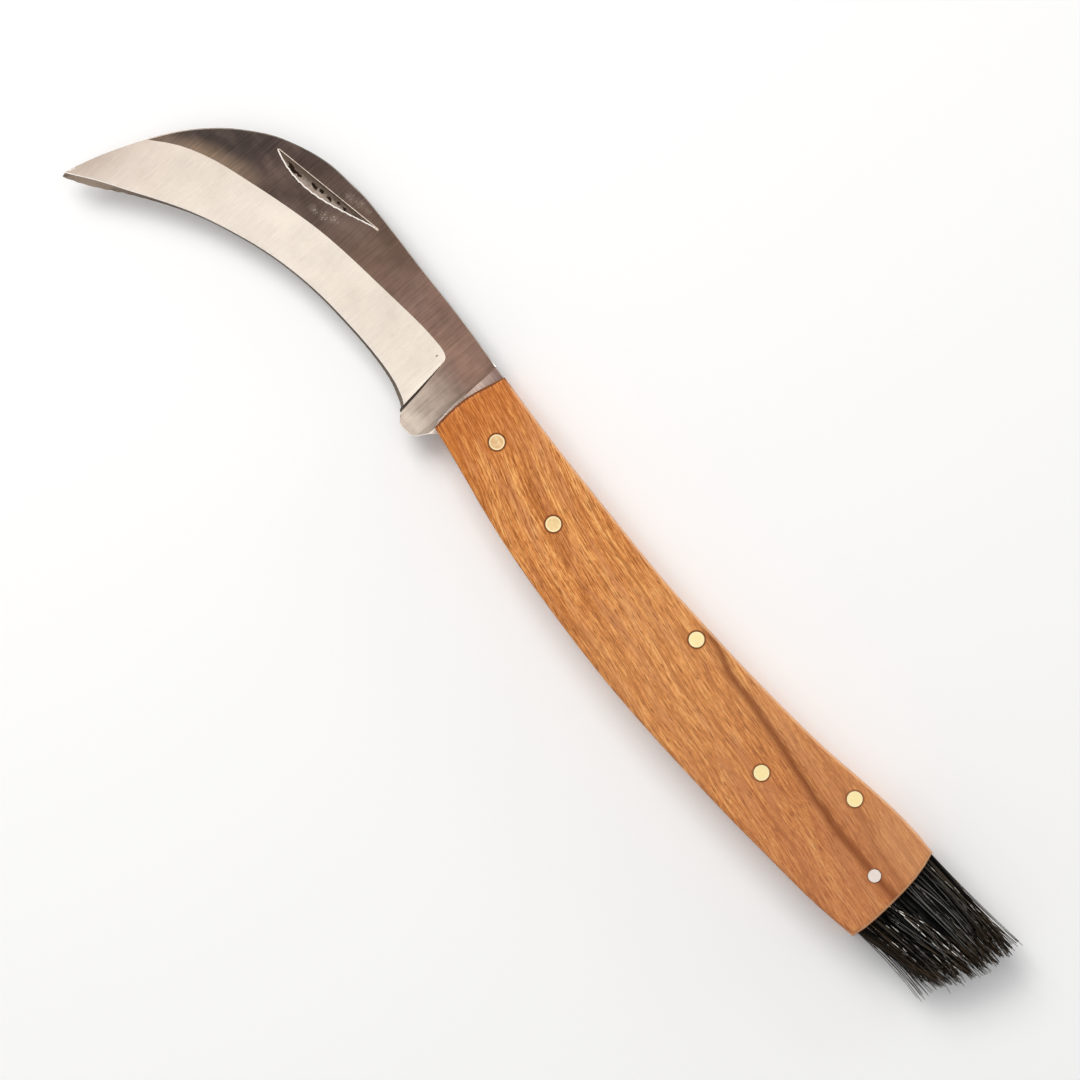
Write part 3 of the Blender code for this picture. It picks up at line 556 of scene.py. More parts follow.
def painted_edge_highlight():
    """Painted highlight on the eased edges at the nick, the kick and the strip, dull enough to look pale
    from all sides.
    """
    material, _, shader, _ = new_material("blade_edge_highlight", EDGE_HIGHLIGHT_ROUGHNESS)
    shader.inputs["Base Color"].default_value = EDGE_HIGHLIGHT_COLOR
    return material


# Finishes of the blade; the last is a painted highlight on eased edges
FLAT, BEVEL, STRIP, RIM, TANG, STEP, PLUNGE, NICK, EDGE_HIGHLIGHT = range(9)
shape = merged_copy("blade")
bottom, top = (Vector(corner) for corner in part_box("blade"))
middle_z = (bottom.z + top.z) / 2


def in_nick(spot):
    """Whether a face with this middle lies in the nail nick of the left side."""
    return (
        NICK_ENDS[0] < spot.x < NICK_ENDS[1] and spot.y > NICK_LOW
        and 0 < spot.z - middle_z < NICK_HEIGHT
    )


for face in shape.faces:
    slope = abs(face.normal.z)
    spot = face.calc_center_median()
    if slope > LEVEL_FACE:
        face.material_index = TANG if abs(spot.z - middle_z) > TANG_HEIGHT else FLAT
    elif slope < UPRIGHT_FACE and min(vert.co.z for vert in face.verts) < middle_z:
        face.material_index = FLAT
    elif spot.x > HEEL + STEP_AWAY:
        face.material_index = STEP
    elif in_nick(spot):
        face.material_index = NICK
    elif face.normal.x < PLUNGE_FACE:
        face.material_index = PLUNGE
    else:
        face.material_index = BEVEL if slope > BEVEL_FACE else STRIP


def borders(shape, one, other):
    """Edges between two finishes."""
    wanted = {one, other}
    return [edge for edge in shape.edges if {face.material_index for face in edge.link_faces} == wanted]


# The rim is chamfered wider than deep, with a painted highlight under the kick, and toned as the tang at
# its front
rim = []
for edge in sharp_edges(shape, BLADE_CORNER):
    slopes = sorted(abs(face.normal.z) for face in edge.link_faces)
    finishes = {face.material_index for face in edge.link_faces}
    if slopes[0] < UPRIGHT_FACE and slopes[1] > LEVEL_FACE and NICK not in finishes:
        rim.append(edge)
for face in ease(shape, rim, RIM_EASE, clamp=False):
    face.material_index = RIM
    level = max(abs(vert.co.z - middle_z) for vert in face.verts)
    for vert in face.verts:
        side = vert.co.z - middle_z
        if level - abs(side) > RIM_DROP / 2:
            vert.co.z = middle_z + math.copysign(level - RIM_DROP, side)
    spot = face.calc_center_median()
    if spot.y < KICK_TOP and spot.x > GUARD_END - GUARD_WIDTH:
        face.material_index = EDGE_HIGHLIGHT if face.normal.x > KICK_FACE else TANG
# The curved side of the nick is eased and given a painted highlight, drawn to a point at its two ends
outline = borders(shape, FLAT, NICK)
corners = sorted((vert.co.copy() for edge in outline for vert in edge.verts), key=lambda spot: spot.x)
curved = []
for edge in outline:
    if max(NICK_LINE[0] * vert.co.x + NICK_LINE[1] - vert.co.y for vert in edge.verts) > NICK_LEEWAY:
        curved.append(edge)
for face in ease(shape, curved, NICK_EASE, clamp=False):
    face.material_index = EDGE_HIGHLIGHT
    for vert in face.verts:
        for corner, side in ((corners[0], -1), (corners[-1], 1)):
            if (vert.co.x - corner.x) * side > NICK_EASE:
                vert.co.xy = corner.xy + (vert.co.xy - corner.xy).normalized() * NICK_EASE
# The border of bevel and strip moves inwards near the tip, then gets a fine eased edge with a painted
# highlight
worn = {}
for edge in borders(shape, BEVEL, STRIP):
    first, second = (vert.co for vert in edge.verts)
    ground = [face for face in edge.link_faces if face.material_index == BEVEL][0]
    inward = ground.normal.cross(second - first).normalized()
    if inward.dot(ground.calc_center_median() - first) < 0:
        inward.negate()
    for vert in edge.verts:
        worn.setdefault(vert, []).append(inward)
for vert, ways in worn.items():
    share = min(1, max(0, (WORN_START - vert.co.x) / WORN_LENGTH))
    vert.co += sum(ways, Vector()).normalized() * WORN_WIDTH * share
for face in ease(shape, borders(shape, BEVEL, STRIP), STRIP_EASE, clamp=False):
    face.material_index = EDGE_HIGHLIGHT
add_piece(
    "blade_finish",
    shape,
    [
        flats(),
        bevels(),
        steel("blade_strip", STRIP_COLOR, STRIP_ROUGHNESS, "Y"),
        graded("blade_rim", RIM_TONES, RIM_SPAN, along="X", axis="X"),
        graded("blade_tang", TANG_TONES, TANG_SPAN, along="X", strength=2.5),
        graded("blade_step", STEP_TONES, STEP_RISE),
        graded("blade_plunge", PLUNGE_TONES, PLUNGE_RISE),
        nick_walls(),
        painted_edge_highlight(),
    ],
    "blade",
    ["blade"],
    smooth=30,
)

# Wooden scales
# Two scales of oiled fruitwood, sanded flush with the liners and the pins.
# The grain runs downhill to the tail and levels out, crossed by a dark streak behind the middle.
HALF_THICKNESS = KNIFE_TOP / 2
# Margin of each scale's face, over which the tone of its sides comes in, and what counts as front
MARGIN = 0.00018
FRONT_FACE = -0.3
# Surface: roughness, how the pores change it, shine, and relief and depth of the pores
WOOD_ROUGHNESS = 0.5
WOOD_DULL = (0.4, 0.7, 0.46, 0.66)
WOOD_SHINE = 0.2
WOOD_RELIEF = 0.3
WOOD_DEPTH = 0.00010
# Sizes of the figure along the grain, across it and through it, and how far the grain sways
SWAY_GRAINS = (0.035, 0.012, 0.012)
SWAY_WIDTH = 0.003
BAND_GRAINS = (0.040, 0.0024, 0.0030)
FIBRE_GRAINS = (0.0036, 0.00028, 0.0006)
GRIT_GRAINS = (0.0006, 0.0005, 0.0006)
LINE_GRAINS = (0.024, 0.00060, 0.0012)
PORE_GRAINS = (0.0026, 0.00020, 0.0003)
HUE_GRAINS = (0.016, 0.0018, 0.0030)
# Shares of fibres, bands and grit in the tone, and the span of it that the tones take up
FIBRE_SHARE = 0.64
BAND_SHARE = 0.25
GRIT_SHARE = 0.11
TONE_SPAN = (0.40, 0.60)
WOOD_TONES = (
    (0.0, (0.41, 0.125, 0.022, 1)), (0.35, (0.62, 0.219, 0.050, 1)),
    (0.65, (0.77, 0.303, 0.080, 1)), (1.0, (0.95, 0.48, 0.157, 1)),
)
# Each tint of the figure: its colour, then the span and the share in which it comes in
WOOD_PINK = (0.62, 0.250, 0.098, 1)
PINK_SPAN = (0.48, 0.66, 0.0, 0.5)
WOOD_LINE = (0.40, 0.115, 0.018, 1)
LINE_SPAN = (0.54, 0.65, 0.0, 0.68)
WOOD_PORE = (0.26, 0.072, 0.014, 1)
PORE_SPAN = (0.54, 0.66, 0.0, 0.9)
# Tints along the handle: browner to the rear, redder and more figured at the front
WOOD_REAR = (0.47, 0.174, 0.081, 1)
REAR_SPAN = (0.0, 0.065, 0.0, 0.50)
WOOD_FRONT = (0.56, 0.140, 0.011, 1)
FRONT_SPAN = (-0.036, -0.056)
FRONT_SHARE = 0.58
FRONT_FIGURE = (0.52, 0.42, 0.0, 0.9)
# Paler wood in the middle of the handle, and along the back behind it
WOOD_PALE = (0.80, 0.42, 0.185, 1)
MIDDLE_SPANS = ((-0.016, -0.002), (0.040, 0.016))
MIDDLE_SHARE = 0.14
BACK_START = (0.008, 0.034)
BACK_RISE = (0.0, 0.007)
BACK_SHARES = (0.050, 0.060, 0.12, 0.26)
# Painted highlight on the arris along the back and the rear end: how far a side faces outwards, and how
# high it lies
WOOD_EDGE_HIGHLIGHT = (0.92, 0.52, 0.28, 1)
EDGE_FACING = (0.25, 0.80)
EDGE_HEIGHT = (0.0059, 0.0065, 0.0, 0.75)
# Painted shade on the front end of the scales, ragged by the fibres
WOOD_FRONT_SHADE = (0.11, 0.030, 0.008, 1)
FRONT_SHADE_RAGGED = 0.8
FRONT_SHADE_SPAN = (0.15, -0.25, 0.0, 0.85)
# Dark rings round the pins: from the pin outwards, and how much less they show to the rear
RING_COLOR = (0.20, 0.040, 0.001, 1)
BRASS_RING = (0.00046, 0.00012)
BRASS_RING_FADE = (0.0, 0.05, 0.95, 0.60)
STEEL_RING = (0.0003, 0.0001, 0.0, 0.4)
# How far the grain has come down, from the front of the scales to their rear
GRAIN_START = (-0.0555, 0.0)
GRAIN_SPAN = (0.1225, 0.0209)
GRAIN_PATH = (
    (0.0, 0.0), (0.06, 0.081), (0.12, 0.177), (0.18, 0.301), (0.24, 0.404), (0.30, 0.478), (0.36, 0.524),
    (0.42, 0.566), (0.54, 0.673), (0.66, 0.75), (0.785, 0.846), (0.905, 0.945), (1.0, 1.0),
)
# Dark streaks: how they come in at their start, fade to the tail, and follow the fibres
STREAK_COLOR = (0.21, 0.049, 0.008, 1)
STREAK_LEAD = (-0.004, 0.001)
STREAK_FADE = (0.050, 0.058, 1.0, 0.91)
STREAK_RAGGED = 0.0012
# Each streak: where it starts, how far it runs and falls, its path, and its reach and depth in steps
STREAKS = (
    (
        (0.0079, -0.0001), (0.0590, 0.0080),
        (
            (0.0, 0.82), (0.04, 0.785), (0.084, 0.70), (0.13, 0.58), (0.18, 0.555), (0.27, 0.507),
            (0.32, 0.45), (0.41, 0.39), (0.46, 0.33), (0.51, 0.28), (0.555, 0.25), (0.60, 0.185),
            (0.65, 0.16), (0.70, 0.10), (0.79, 0.077), (1.0, 0.085),
        ),
        ((0.0022, 0.25), (0.0013, 0.75)),
    ),
    (
        (0.0480, 0.0030), (0.0190, 0.0032),
        ((0.0, 1.0), (0.21, 0.83), (0.39, 0.60), (0.49, 0.31), (0.68, 0.20), (1.0, 0.06)),
        ((0.0012, 0.32),),
    ),
)
BRASS_RADIUS = 0.0015
STEEL_RADIUS = 0.00125
BRASS_PINS = (
    "pivot_pin", "centre_spring_pin", "rear_spring_pin", "left_front_rivet", "left_rear_rivet",
)
# Each scale, how its figure is shifted, and its streaks
SCALES = (
    ("left", (0, 0, 0), STREAKS),
    ("right", (0.31, 0.07, 0.12), ()),
)


def middle(node):
    """Middle of a CAD node."""
    low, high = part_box(node)
    return (Vector(low) + Vector(high)) / 2


def from_rim(tree, place, nodes, radius):
    """How far a point lies outside the nearest of some upright pins."""
    flat = vector(tree, "MULTIPLY", place, (1, 1, 0)).outputs[0]
    nearest = 1.0
    for node in nodes:
        away = vector(tree, "DISTANCE", flat, (*middle(node).xy, 0))
        nearest = reckon(tree, "MINIMUM", away.outputs["Value"], nearest)
    return reckon(tree, "SUBTRACT", nearest, radius)


def wood(name, shift, streaks):
    """Oiled wood: slow bands, fine fibres and short dark pores, in colour, gloss and relief."""
    material, tree, shader, place = new_material(name, WOOD_ROUGHNESS)
    parts = add_node(tree, "ShaderNodeSeparateXYZ", {0: place}).outputs
    x, y, z = (parts[axis] for axis in "XYZ")

    # The grain is straightened, so that each figure can be drawn along X
    across = reckon(tree, "ADD", y, curve_level(tree, x, GRAIN_START, GRAIN_SPAN, GRAIN_PATH))
    straight = add_node(tree, "ShaderNodeCombineXYZ", {0: x, 1: across, 2: z}).outputs[0]
    straight = vector(tree, "ADD", straight, shift).outputs[0]
    sway = reckon(tree, "MULTIPLY", grains(tree, straight, SWAY_GRAINS, detail=2.0), SWAY_WIDTH)
    sway = add_node(tree, "ShaderNodeCombineXYZ", {1: sway}).outputs[0]
    swayed = vector(tree, "ADD", straight, sway).outputs[0]
    bands = grains(tree, swayed, BAND_GRAINS)
    fibres = grains(tree, swayed, FIBRE_GRAINS, detail=4.0, rough=0.68)
    grit = grains(tree, place, GRIT_GRAINS, detail=2.0)
    lines = grains(tree, swayed, LINE_GRAINS, detail=2.0, rough=0.6)
    pores = grains(tree, swayed, PORE_GRAINS, detail=2.0, rough=0.5)
    hue = grains(tree, swayed, HUE_GRAINS)
    tone = reckon(tree, "MULTIPLY", bands, BAND_SHARE)
    tone = reckon(tree, "MULTIPLY_ADD", fibres, FIBRE_SHARE, tone)
    tone = reckon(tree, "MULTIPLY_ADD", grit, GRIT_SHARE, tone)
    color = ramp(tree, spread(tree, tone, *TONE_SPAN, kind="LINEAR"), WOOD_TONES)
    color = tinted(tree, spread(tree, hue, *PINK_SPAN), color, WOOD_PINK)
    color = tinted(tree, spread(tree, lines, *LINE_SPAN), color, WOOD_LINE)
    color = tinted(tree, spread(tree, pores, *PORE_SPAN), color, WOOD_PORE)

    # Tints along the handle
    color = tinted(tree, spread(tree, x, *REAR_SPAN), color, WOOD_REAR)
    front = spread(tree, x, *FRONT_SPAN)
    color = tinted(tree, reckon(tree, "MULTIPLY", front, FRONT_SHARE), color, WOOD_FRONT)
    front = reckon(tree, "MULTIPLY", front, spread(tree, fibres, *FRONT_FIGURE))
    color = tinted(tree, front, color, WOOD_LINE)
    light = reckon(tree, "MULTIPLY", *(spread(tree, x, *span) for span in MIDDLE_SPANS))
    color = tinted(tree, reckon(tree, "MULTIPLY", light, MIDDLE_SHARE), color, WOOD_PALE)
    light = reckon(tree, "MULTIPLY", spread(tree, x, *BACK_START), spread(tree, y, *BACK_RISE))
    light = reckon(tree, "MULTIPLY", light, spread(tree, x, *BACK_SHARES))
    color = tinted(tree, light, color, WOOD_PALE)
    for start, span, path, steps in streaks:
        away = reckon(tree, "SUBTRACT", y, curve_level(tree, x, start, span, path))
        ragged = reckon(tree, "MULTIPLY_ADD", fibres, STREAK_RAGGED, -STREAK_RAGGED / 2)
        away = reckon(tree, "ABSOLUTE", reckon(tree, "ADD", away, ragged))
        begun = spread(tree, x, *(start[0] + lead for lead in STREAK_LEAD))
        begun = reckon(tree, "MULTIPLY", begun, spread(tree, x, *STREAK_FADE))
        for reach, depth in steps:
            near = reckon(tree, "MULTIPLY", spread(tree, away, reach, 0.0, 0.0, depth), begun)
            color = tinted(tree, near, color, STREAK_COLOR)

    # The painted highlight on the arris, the painted shade on the front end, and the rings round the pins
    outward = add_node(tree, "ShaderNodeAttribute", attribute_name="outward").outputs["Fac"]
    outer = reckon(tree, "ABSOLUTE", reckon(tree, "SUBTRACT", z, HALF_THICKNESS))
    arris_highlight = spread(tree, outward, *EDGE_FACING)
    arris_highlight = reckon(tree, "MULTIPLY", arris_highlight, spread(tree, outer, *EDGE_HEIGHT))
    color = tinted(tree, arris_highlight, color, WOOD_EDGE_HIGHLIGHT)
    # Painted shade on the front end, ragged by the fibres
    front_shade = reckon(tree, "MULTIPLY_ADD", fibres, FRONT_SHADE_RAGGED, outward)
    color = tinted(tree, spread(tree, front_shade, *FRONT_SHADE_SPAN), color, WOOD_FRONT_SHADE)
    ring = spread(tree, from_rim(tree, place, BRASS_PINS, BRASS_RADIUS), *BRASS_RING)
    ring = reckon(tree, "MULTIPLY", ring, spread(tree, x, *BRASS_RING_FADE))
    color = tinted(tree, ring, color, RING_COLOR)
    ring = spread(tree, from_rim(tree, place, ["brush_pin"], STEEL_RADIUS), *STEEL_RING)
    color = tinted(tree, ring, color, RING_COLOR)
    tree.links.new(color, shader.inputs["Base Color"])
    tree.links.new(spread(tree, pores, *WOOD_DULL), shader.inputs["Roughness"])
    shader.inputs["Specular IOR Level"].default_value = WOOD_SHINE
    add_relief(tree, shader, reckon(tree, "ADD", fibres, pores), WOOD_RELIEF, WOOD_DEPTH, sunk=True)
    return material


for word, shift, streaks in SCALES:
    shape = merged_copy(word + "_scale")
    faces = [face for face in shape.faces if abs(face.normal.z) > LEVEL_FACE]
    bmesh.ops.inset_region(shape, faces=faces, thickness=MARGIN, use_even_offset=True)
    shape.normal_update()
    outward_layer = shape.verts.layers.float.new("outward")
    for vert in shape.verts:
        to_front = vert.normal.x < FRONT_FACE
        vert[outward_layer] = vert.normal.x if to_front else max(vert.normal.x, vert.normal.y, 0)
    material = wood(word + "_wood", shift, streaks)
    add_piece(word + "_scale_finish", shape, [material], "handle", [word + "_scale"])

# Pins and rivets
# Brass pins through the spring and the pivot, short brass rivets, and a steel pin at the brush.
# Each is hammered tight and sanded level with the wood.
PIN_SIDES = 64
PIN_CORNER = 60
PIN_EASE = 0.00004
PIN_ROUGHNESS = 0.32
# Brass darker and pinker towards the front: a painted reflection
BRASS_FRONT = (0.58, 0.37, 0.188, 1)
BRASS_REAR = (0.84, 0.70, 0.355, 1)
BRASS_SPAN = (-0.045, 0.0)
# Worn spots on the brass and a painted highlight round its rim, from inside the pin outwards
BRASS_WORN_AND_HIGHLIGHT = (0.84, 0.72, 0.44, 1)
WORN_GRAIN = 0.0009
WORN_SPOTS = (0.45, 0.65, 0.0, 0.35)
BRASS_RIM_HIGHLIGHT = (-0.00045, -0.0002, 0.0, 0.6)
PIN_STEEL_COLOR = (0.74, 0.655, 0.605)
PINS = (
    "pivot_pin", "centre_spring_pin", "rear_spring_pin", "brush_pin",
    "left_front_rivet", "left_rear_rivet", "right_front_rivet", "right_rear_rivet",
)

brass, tree, shader, place = new_material("pin_brass", PIN_ROUGHNESS, 1.0)
x = add_node(tree, "ShaderNodeSeparateXYZ", {0: place}).outputs["X"]
# Painted reflection: the brass grows darker and pinker towards the front
color = tinted(tree, spread(tree, x, *BRASS_SPAN), BRASS_FRONT, BRASS_REAR)
worn = spread(tree, grains(tree, place, [WORN_GRAIN] * 3), *WORN_SPOTS)
# A painted highlight round the rim of each brass pin, in the same pale tone as the worn spots
rim = spread(tree, from_rim(tree, place, BRASS_PINS, BRASS_RADIUS), *BRASS_RIM_HIGHLIGHT)
color = tinted(tree, reckon(tree, "MAXIMUM", worn, rim), color, BRASS_WORN_AND_HIGHLIGHT)
brushed(tree, shader, place, color, PIN_ROUGHNESS, "X", strength=0.6)
pin_steel = steel("pin_steel", PIN_STEEL_COLOR, PIN_ROUGHNESS, "X", strength=0.4)
for node in PINS:
    low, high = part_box(node)
    radius = STEEL_RADIUS if node == "brush_pin" else BRASS_RADIUS
    shape = bmesh.new()
    bmesh.ops.create_cone(
        shape, cap_ends=True, segments=PIN_SIDES, radius1=radius, radius2=radius, depth=high[2] - low[2]
    )
    ease(shape, sharp_edges(shape, PIN_CORNER), PIN_EASE)
    bmesh.ops.translate(shape, verts=shape.verts, vec=middle(node))
    metal, slot = (pin_steel, "pin_steel") if node == "brush_pin" else (brass, "pin_brass")
    add_piece(node + "_finish", shape, [metal], "handle", [node], smooth=30)

# Brush block
# Black moulded block, glued into the tail between the scales and held by the steel pin.
# It is level with the scales at the back and belly, and holds the tufts in its end.
BLOCK_ROUGHNESS = 0.6
BLOCK_COLOR = (0.022, 0.020, 0.019, 1)
BLOCK_WORN = (0.040, 0.037, 0.035, 1)
MOTTLE_GRAIN = 0.0004
MOTTLE_SPAN = (0.4, 0.7)
MOTTLE_RELIEF = 0.3
MOTTLE_DEPTH = 0.00005

shape = merged_copy("brush_block")
ease(shape, sharp_edges(shape, PLATE_CORNER), PLATE_EASE)
material, tree, shader, place = new_material("brush_block", BLOCK_ROUGHNESS)
mottle = grains(tree, place, [MOTTLE_GRAIN] * 3, detail=4.0)
color = tinted(tree, spread(tree, mottle, *MOTTLE_SPAN), BLOCK_COLOR, BLOCK_WORN)
tree.links.new(color, shader.inputs["Base Color"])
add_relief(tree, shader, mottle, MOTTLE_RELIEF, MOTTLE_DEPTH)
add_piece("brush_block_finish", shape, [material], "handle", ["brush_block"])

# Bristles
# Stiff black hair set in the end of the block, leaning to the back, most of all at the belly.
# Tufts split, strands bend and cross, the tips are ragged, and some strands are brown; grey lit strands and
# pale glints are painted highlights.

# Strands: rows from belly to back, layers upwards, width, pieces of their length, depth in the
# block, corners, how much they taper, and the tone at their roots
STRAND_ROWS = 84
STRAND_LAYERS = 22
STRAND_WIDTH = 0.00023
STRAND_STEPS = 7
STRAND_SINK = 0.0004
STRAND_CORNERS = 3
STRAND_TAPER = 0.5
ROOT_TONE = 0.5
STRAND_SEED = 11
# Bare margins at the belly and the back, depth of the tail's curved end, half depth of the brush
ROOT_BELLY = 0.0011
ROOT_BACK = 0.0005
TAIL_DEPTH = 0.003
HALF_DEPTH = 0.0033
# From the belly to the back: where the tips end along the handle, and how far a strand leans
TIP_PLACES = (
    (0.0, 0.0856), (0.06, 0.0852), (0.14, 0.0852), (0.25, 0.0876), (0.5, 0.0886), (0.75, 0.0892),
    (1.0, 0.0894),
)
LEANS = ((0.0, 0.200), (0.25, 0.155), (0.5, 0.110), (0.85, 0.045), (1.0, 0.028))
# Tufts: how many, how far their tips draw in, and how each one sways, lifts and reaches
TUFTS = (8, 3)
TUFT_POINT = 0.0078
TUFT_PULL = 0.7
TUFT_SWAY = 0.0006
TUFT_LIFT = 0.0003
TUFT_REACH = (-0.0012, 0.0008)
# Scatter: roots and tufts in steps, tips, pull, curl and rise, and how wide the layers fan out
ROOT_SCATTER = 0.4
TUFT_SCATTER = 0.3
TIP_RAGGED = 0.0060
PULL_SCATTER = 0.00030
CURL_SCATTER = 0.00022
RISE_SCATTER = 0.00020
FAN_WIDTH = 0.0012
# Stray strands scatter more, and are more common in the upper layers
STRAY_TIMES = 4.0
STRAY_UPPER = 0.8
STRAY_CHANCES = (0.35, 0.15)
# At the two edges the strands close in, apart from a few that fly away outwards
EDGE_SHARE = 0.07
EDGE_PULL = (0.0004, 0.0014)
FLY_CHANCE = 0.10
FLY_RAGGED = 0.0015
FLY_BACK = (0.0001, 0.0017)
FLY_BELLY = (0.0004, 0.0030)
# Hair: base tones, and the tones of single strands, edges, tips and glints on them; the lit strands and the
# glints are painted highlights
HAIR_ROUGHNESS = 0.30
HAIR_SHINE = 0.08
HAIR_DARK = (0.0015, 0.0015, 0.0015, 1)
HAIR_LIT = (0.205, 0.205, 0.192, 1)
LIT_STRANDS = (0.62, 0.92, 0.0, 1.0, "LINEAR")
HAIR_BROWN = (0.072, 0.047, 0.026, 1)
BROWN_STRANDS = (0.90, 0.92, 0.0, 0.9)
BRUSH_MIDDLE = 0.0028
BROWN_EDGE = (0.0045, 0.0085)
EDGE_STRANDS = (0.45, 0.85)
BROWN_TIP = (0.68, 0.95, 0.0, 0.95)
TIP_STRANDS = (0.32, 0.66)
HAIR_GLINT = (0.92, 0.89, 0.82, 1)
GLINT_GRAINS = (0.0024, 0.0008, 0.0008)
GLINT_SPAN = (0.52, 0.56)
GLINT_STRANDS = (0.90, 0.905)
GLINT_MIDDLE = -0.0008
GLINT_FADE = (0.0062, 0.0046, 0.4, 1.0)

# Outline of the block's end, from the belly to the back, without the hole for the pin
block_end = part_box("brush_block")[1][0]
pin_spot = middle("brush_pin")
roots = merged_copy("brush_block")
tail = sorted(
    (vert.co.y, vert.co.x) for vert in roots.verts
    if vert.co.x > block_end - TAIL_DEPTH and (vert.co - pin_spot).xy.length > 2 * STEEL_RADIUS
)
roots.free()


def level_at(table, mark):
    """Value at a mark, in a table of marks and values."""
    for (mark0, value0), (mark1, value1) in zip(table, table[1:]):
        if mark0 <= mark <= mark1 and mark1 > mark0:
            return value0 + (value1 - value0) * (mark - mark0) / (mark1 - mark0)
    return table[0][1] if mark < table[0][0] else table[-1][1]


chance = random.Random(STRAND_SEED)
shape = bmesh.new()
strand_layer = shape.faces.layers.int.new("strand")
along_layer = shape.verts.layers.float.new("along")
tone_layer = shape.verts.layers.float.new("tone")
root_low = tail[0][0] + ROOT_BELLY
root_high = tail[-1][0] - ROOT_BACK
root_span = root_high - root_low
tufts = {}
strands = []
faces = []
for row in range(STRAND_ROWS):
    for layer in range(STRAND_LAYERS):
        y_share = (row + 0.5 + chance.uniform(-ROOT_SCATTER, ROOT_SCATTER)) / STRAND_ROWS
        z_share = (layer + 0.5 + chance.uniform(-ROOT_SCATTER, ROOT_SCATTER)) / STRAND_LAYERS
        y = root_low + root_span * y_share
        z = HALF_THICKNESS + HALF_DEPTH * (2 * z_share - 1)
        root = Vector((level_at(tail, y) - STRAND_SINK, y, z))

        # The tuft that the strand belongs to, and how that tuft stands
        places = [share * count for share, count in zip((y_share, z_share), TUFTS)]
        key = tuple(int(spot + chance.uniform(-TUFT_SCATTER, TUFT_SCATTER)) for spot in places)
        if key not in tufts:
            sway, lift = chance.gauss(0, TUFT_SWAY), chance.gauss(0, TUFT_LIFT)
            tufts[key] = (sway, lift, chance.uniform(*TUFT_REACH))
        sway, lift, extra = tufts[key]

        # How far the strand reaches, leans, is pulled to its tuft, curls and rises
        stray_chance = STRAY_CHANCES[0] if z_share > STRAY_UPPER else STRAY_CHANCES[1]
        stray = STRAY_TIMES if chance.random() < stray_chance else 1.0
        offset = y_share * TUFTS[0] - key[0] - 0.5
        reach = level_at(TIP_PLACES, y_share) + extra - chance.random() ** 4 * TIP_RAGGED - root.x
        reach -= TUFT_POINT * min(abs(offset), 1)
        lean = level_at(LEANS, y_share) * reach
        pull = -offset * root_span / TUFTS[0] * TUFT_PULL + sway + chance.gauss(0, PULL_SCATTER) * stray
        edge = min(y_share, 1 - y_share)
        curl = chance.gauss(0, CURL_SCATTER) * stray * min(1, 4 * edge)
        if edge < EDGE_SHARE:
            pull = math.copysign(chance.uniform(*EDGE_PULL), 0.5 - y_share)
            if chance.random() < FLY_CHANCE:
                reach = level_at(TIP_PLACES, y_share) - chance.random() * FLY_RAGGED - root.x
                at_back = y_share > 0.5
                pull = chance.uniform(*FLY_BACK) if at_back else -chance.uniform(*FLY_BELLY)
        rise = (z_share - 0.5) * FAN_WIDTH + lift + chance.gauss(0, RISE_SCATTER) * stray
        strands.append((root, reach, lean, pull, rise, curl, chance.random()))

        # Its root, a small triangle that is drawn out below
        turn = chance.uniform(0, math.tau)
        corners = []
        for corner in range(STRAND_CORNERS):
            angle = turn + corner * math.tau / STRAND_CORNERS
            side = STRAND_WIDTH / 2 * Vector((0, math.cos(angle), math.sin(angle)))
            corners.append(shape.verts.new(root + side))
        face = shape.faces.new(corners)
        face[strand_layer] = len(strands) - 1
        faces.append(face)
for vert in shape.verts:
    vert[tone_layer] = ROOT_TONE
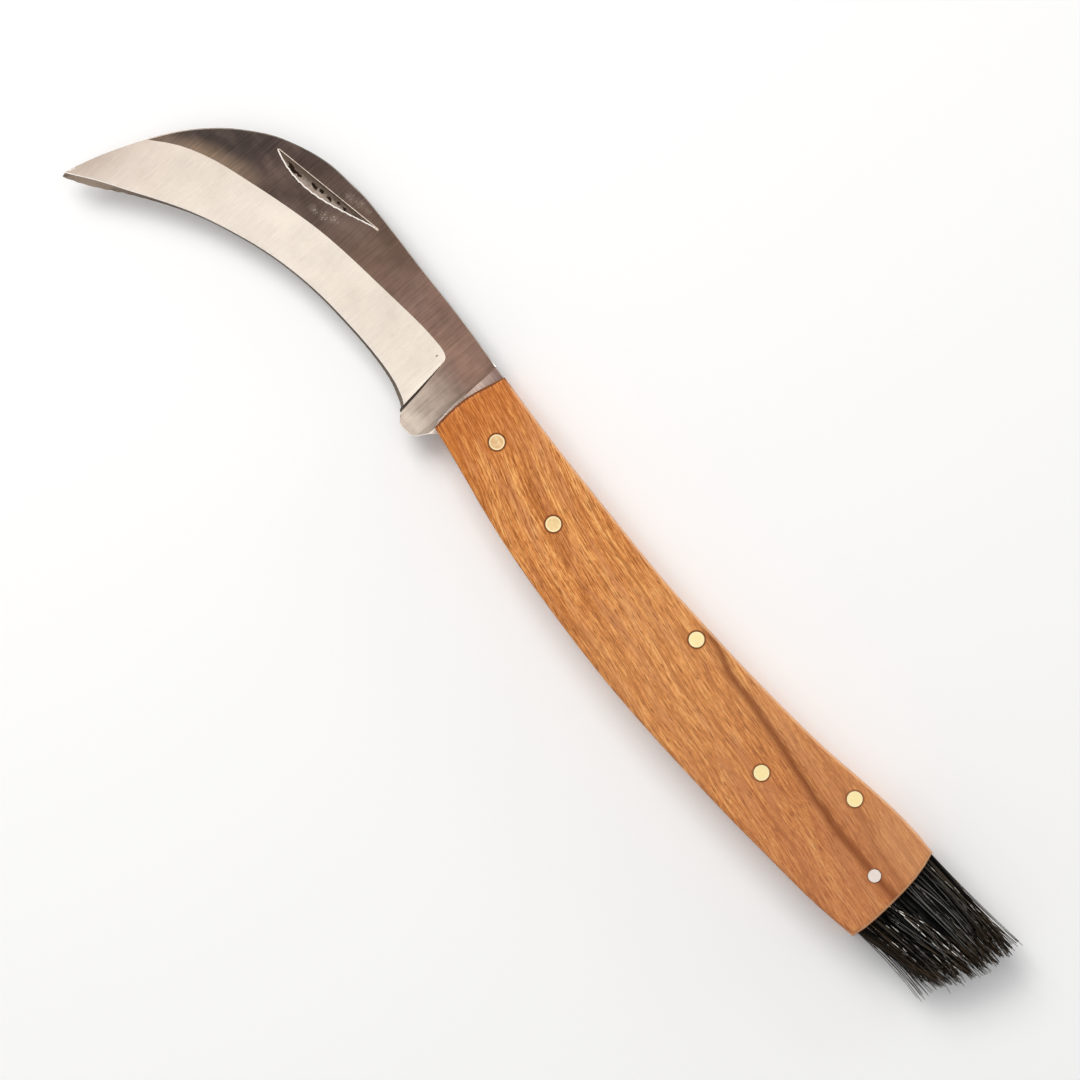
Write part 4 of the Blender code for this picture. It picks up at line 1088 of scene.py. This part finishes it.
for step in range(1, STRAND_STEPS + 1):
    share = step / STRAND_STEPS
    faces = bmesh.ops.extrude_discrete_faces(shape, faces=faces)["faces"]
    for face in faces:
        root, reach, lean, pull, rise, curl, tone = strands[face[strand_layer]]
        middle_now = face.calc_center_median()
        bend = curl * math.sin(math.pi * share)
        y_shift = lean * share + pull * share ** 2 + bend
        aim = root + Vector((reach * share, y_shift, rise * share ** 1.5 + bend / 2))
        taper = (1 - STRAND_TAPER * share) / (1 - STRAND_TAPER * (step - 1) / STRAND_STEPS)
        for vert in face.verts:
            vert.co = aim + (vert.co - middle_now) * taper
            vert[along_layer] = share
            vert[tone_layer] = tone
bmesh.ops.recalc_face_normals(shape, faces=shape.faces)

material, tree, shader, place = new_material("bristle_hair", HAIR_ROUGHNESS)
along = add_node(tree, "ShaderNodeAttribute", attribute_name="along").outputs["Fac"]
tone = add_node(tree, "ShaderNodeAttribute", attribute_name="tone").outputs["Fac"]
# Painted highlights: lit grey strands among the dark ones
color = tinted(tree, spread(tree, tone, *LIT_STRANDS), HAIR_DARK, HAIR_LIT)
y = add_node(tree, "ShaderNodeSeparateXYZ", {0: place}).outputs["Y"]
from_middle = reckon(tree, "ABSOLUTE", reckon(tree, "SUBTRACT", y, BRUSH_MIDDLE))
edge = spread(tree, from_middle, *BROWN_EDGE)
edge = reckon(tree, "MULTIPLY", edge, spread(tree, tone, *EDGE_STRANDS))
tip = spread(tree, along, *BROWN_TIP)
tip = reckon(tree, "MULTIPLY", tip, spread(tree, tone, *TIP_STRANDS))
brown = reckon(tree, "MAXIMUM", edge, tip)
brown = reckon(tree, "MAXIMUM", spread(tree, tone, *BROWN_STRANDS), brown)
color = tinted(tree, brown, color, HAIR_BROWN)
# Painted glints along the strands, fading away from the middle
glints = spread(tree, grains(tree, place, GLINT_GRAINS, detail=2.0), *GLINT_SPAN)
glints = reckon(tree, "MULTIPLY", glints, spread(tree, tone, *GLINT_STRANDS))
from_middle = reckon(tree, "ABSOLUTE", reckon(tree, "SUBTRACT", y, GLINT_MIDDLE))
glints = reckon(tree, "MULTIPLY", glints, spread(tree, from_middle, *GLINT_FADE))
color = tinted(tree, glints, color, HAIR_GLINT)
tree.links.new(color, shader.inputs["Base Color"])
shader.inputs["Specular IOR Level"].default_value = HAIR_SHINE
add_piece("brush_bristles_finish", shape, [material], "handle", ["brush_bristles"], smooth=60)

bpy.context.view_layer.update()
low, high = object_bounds()
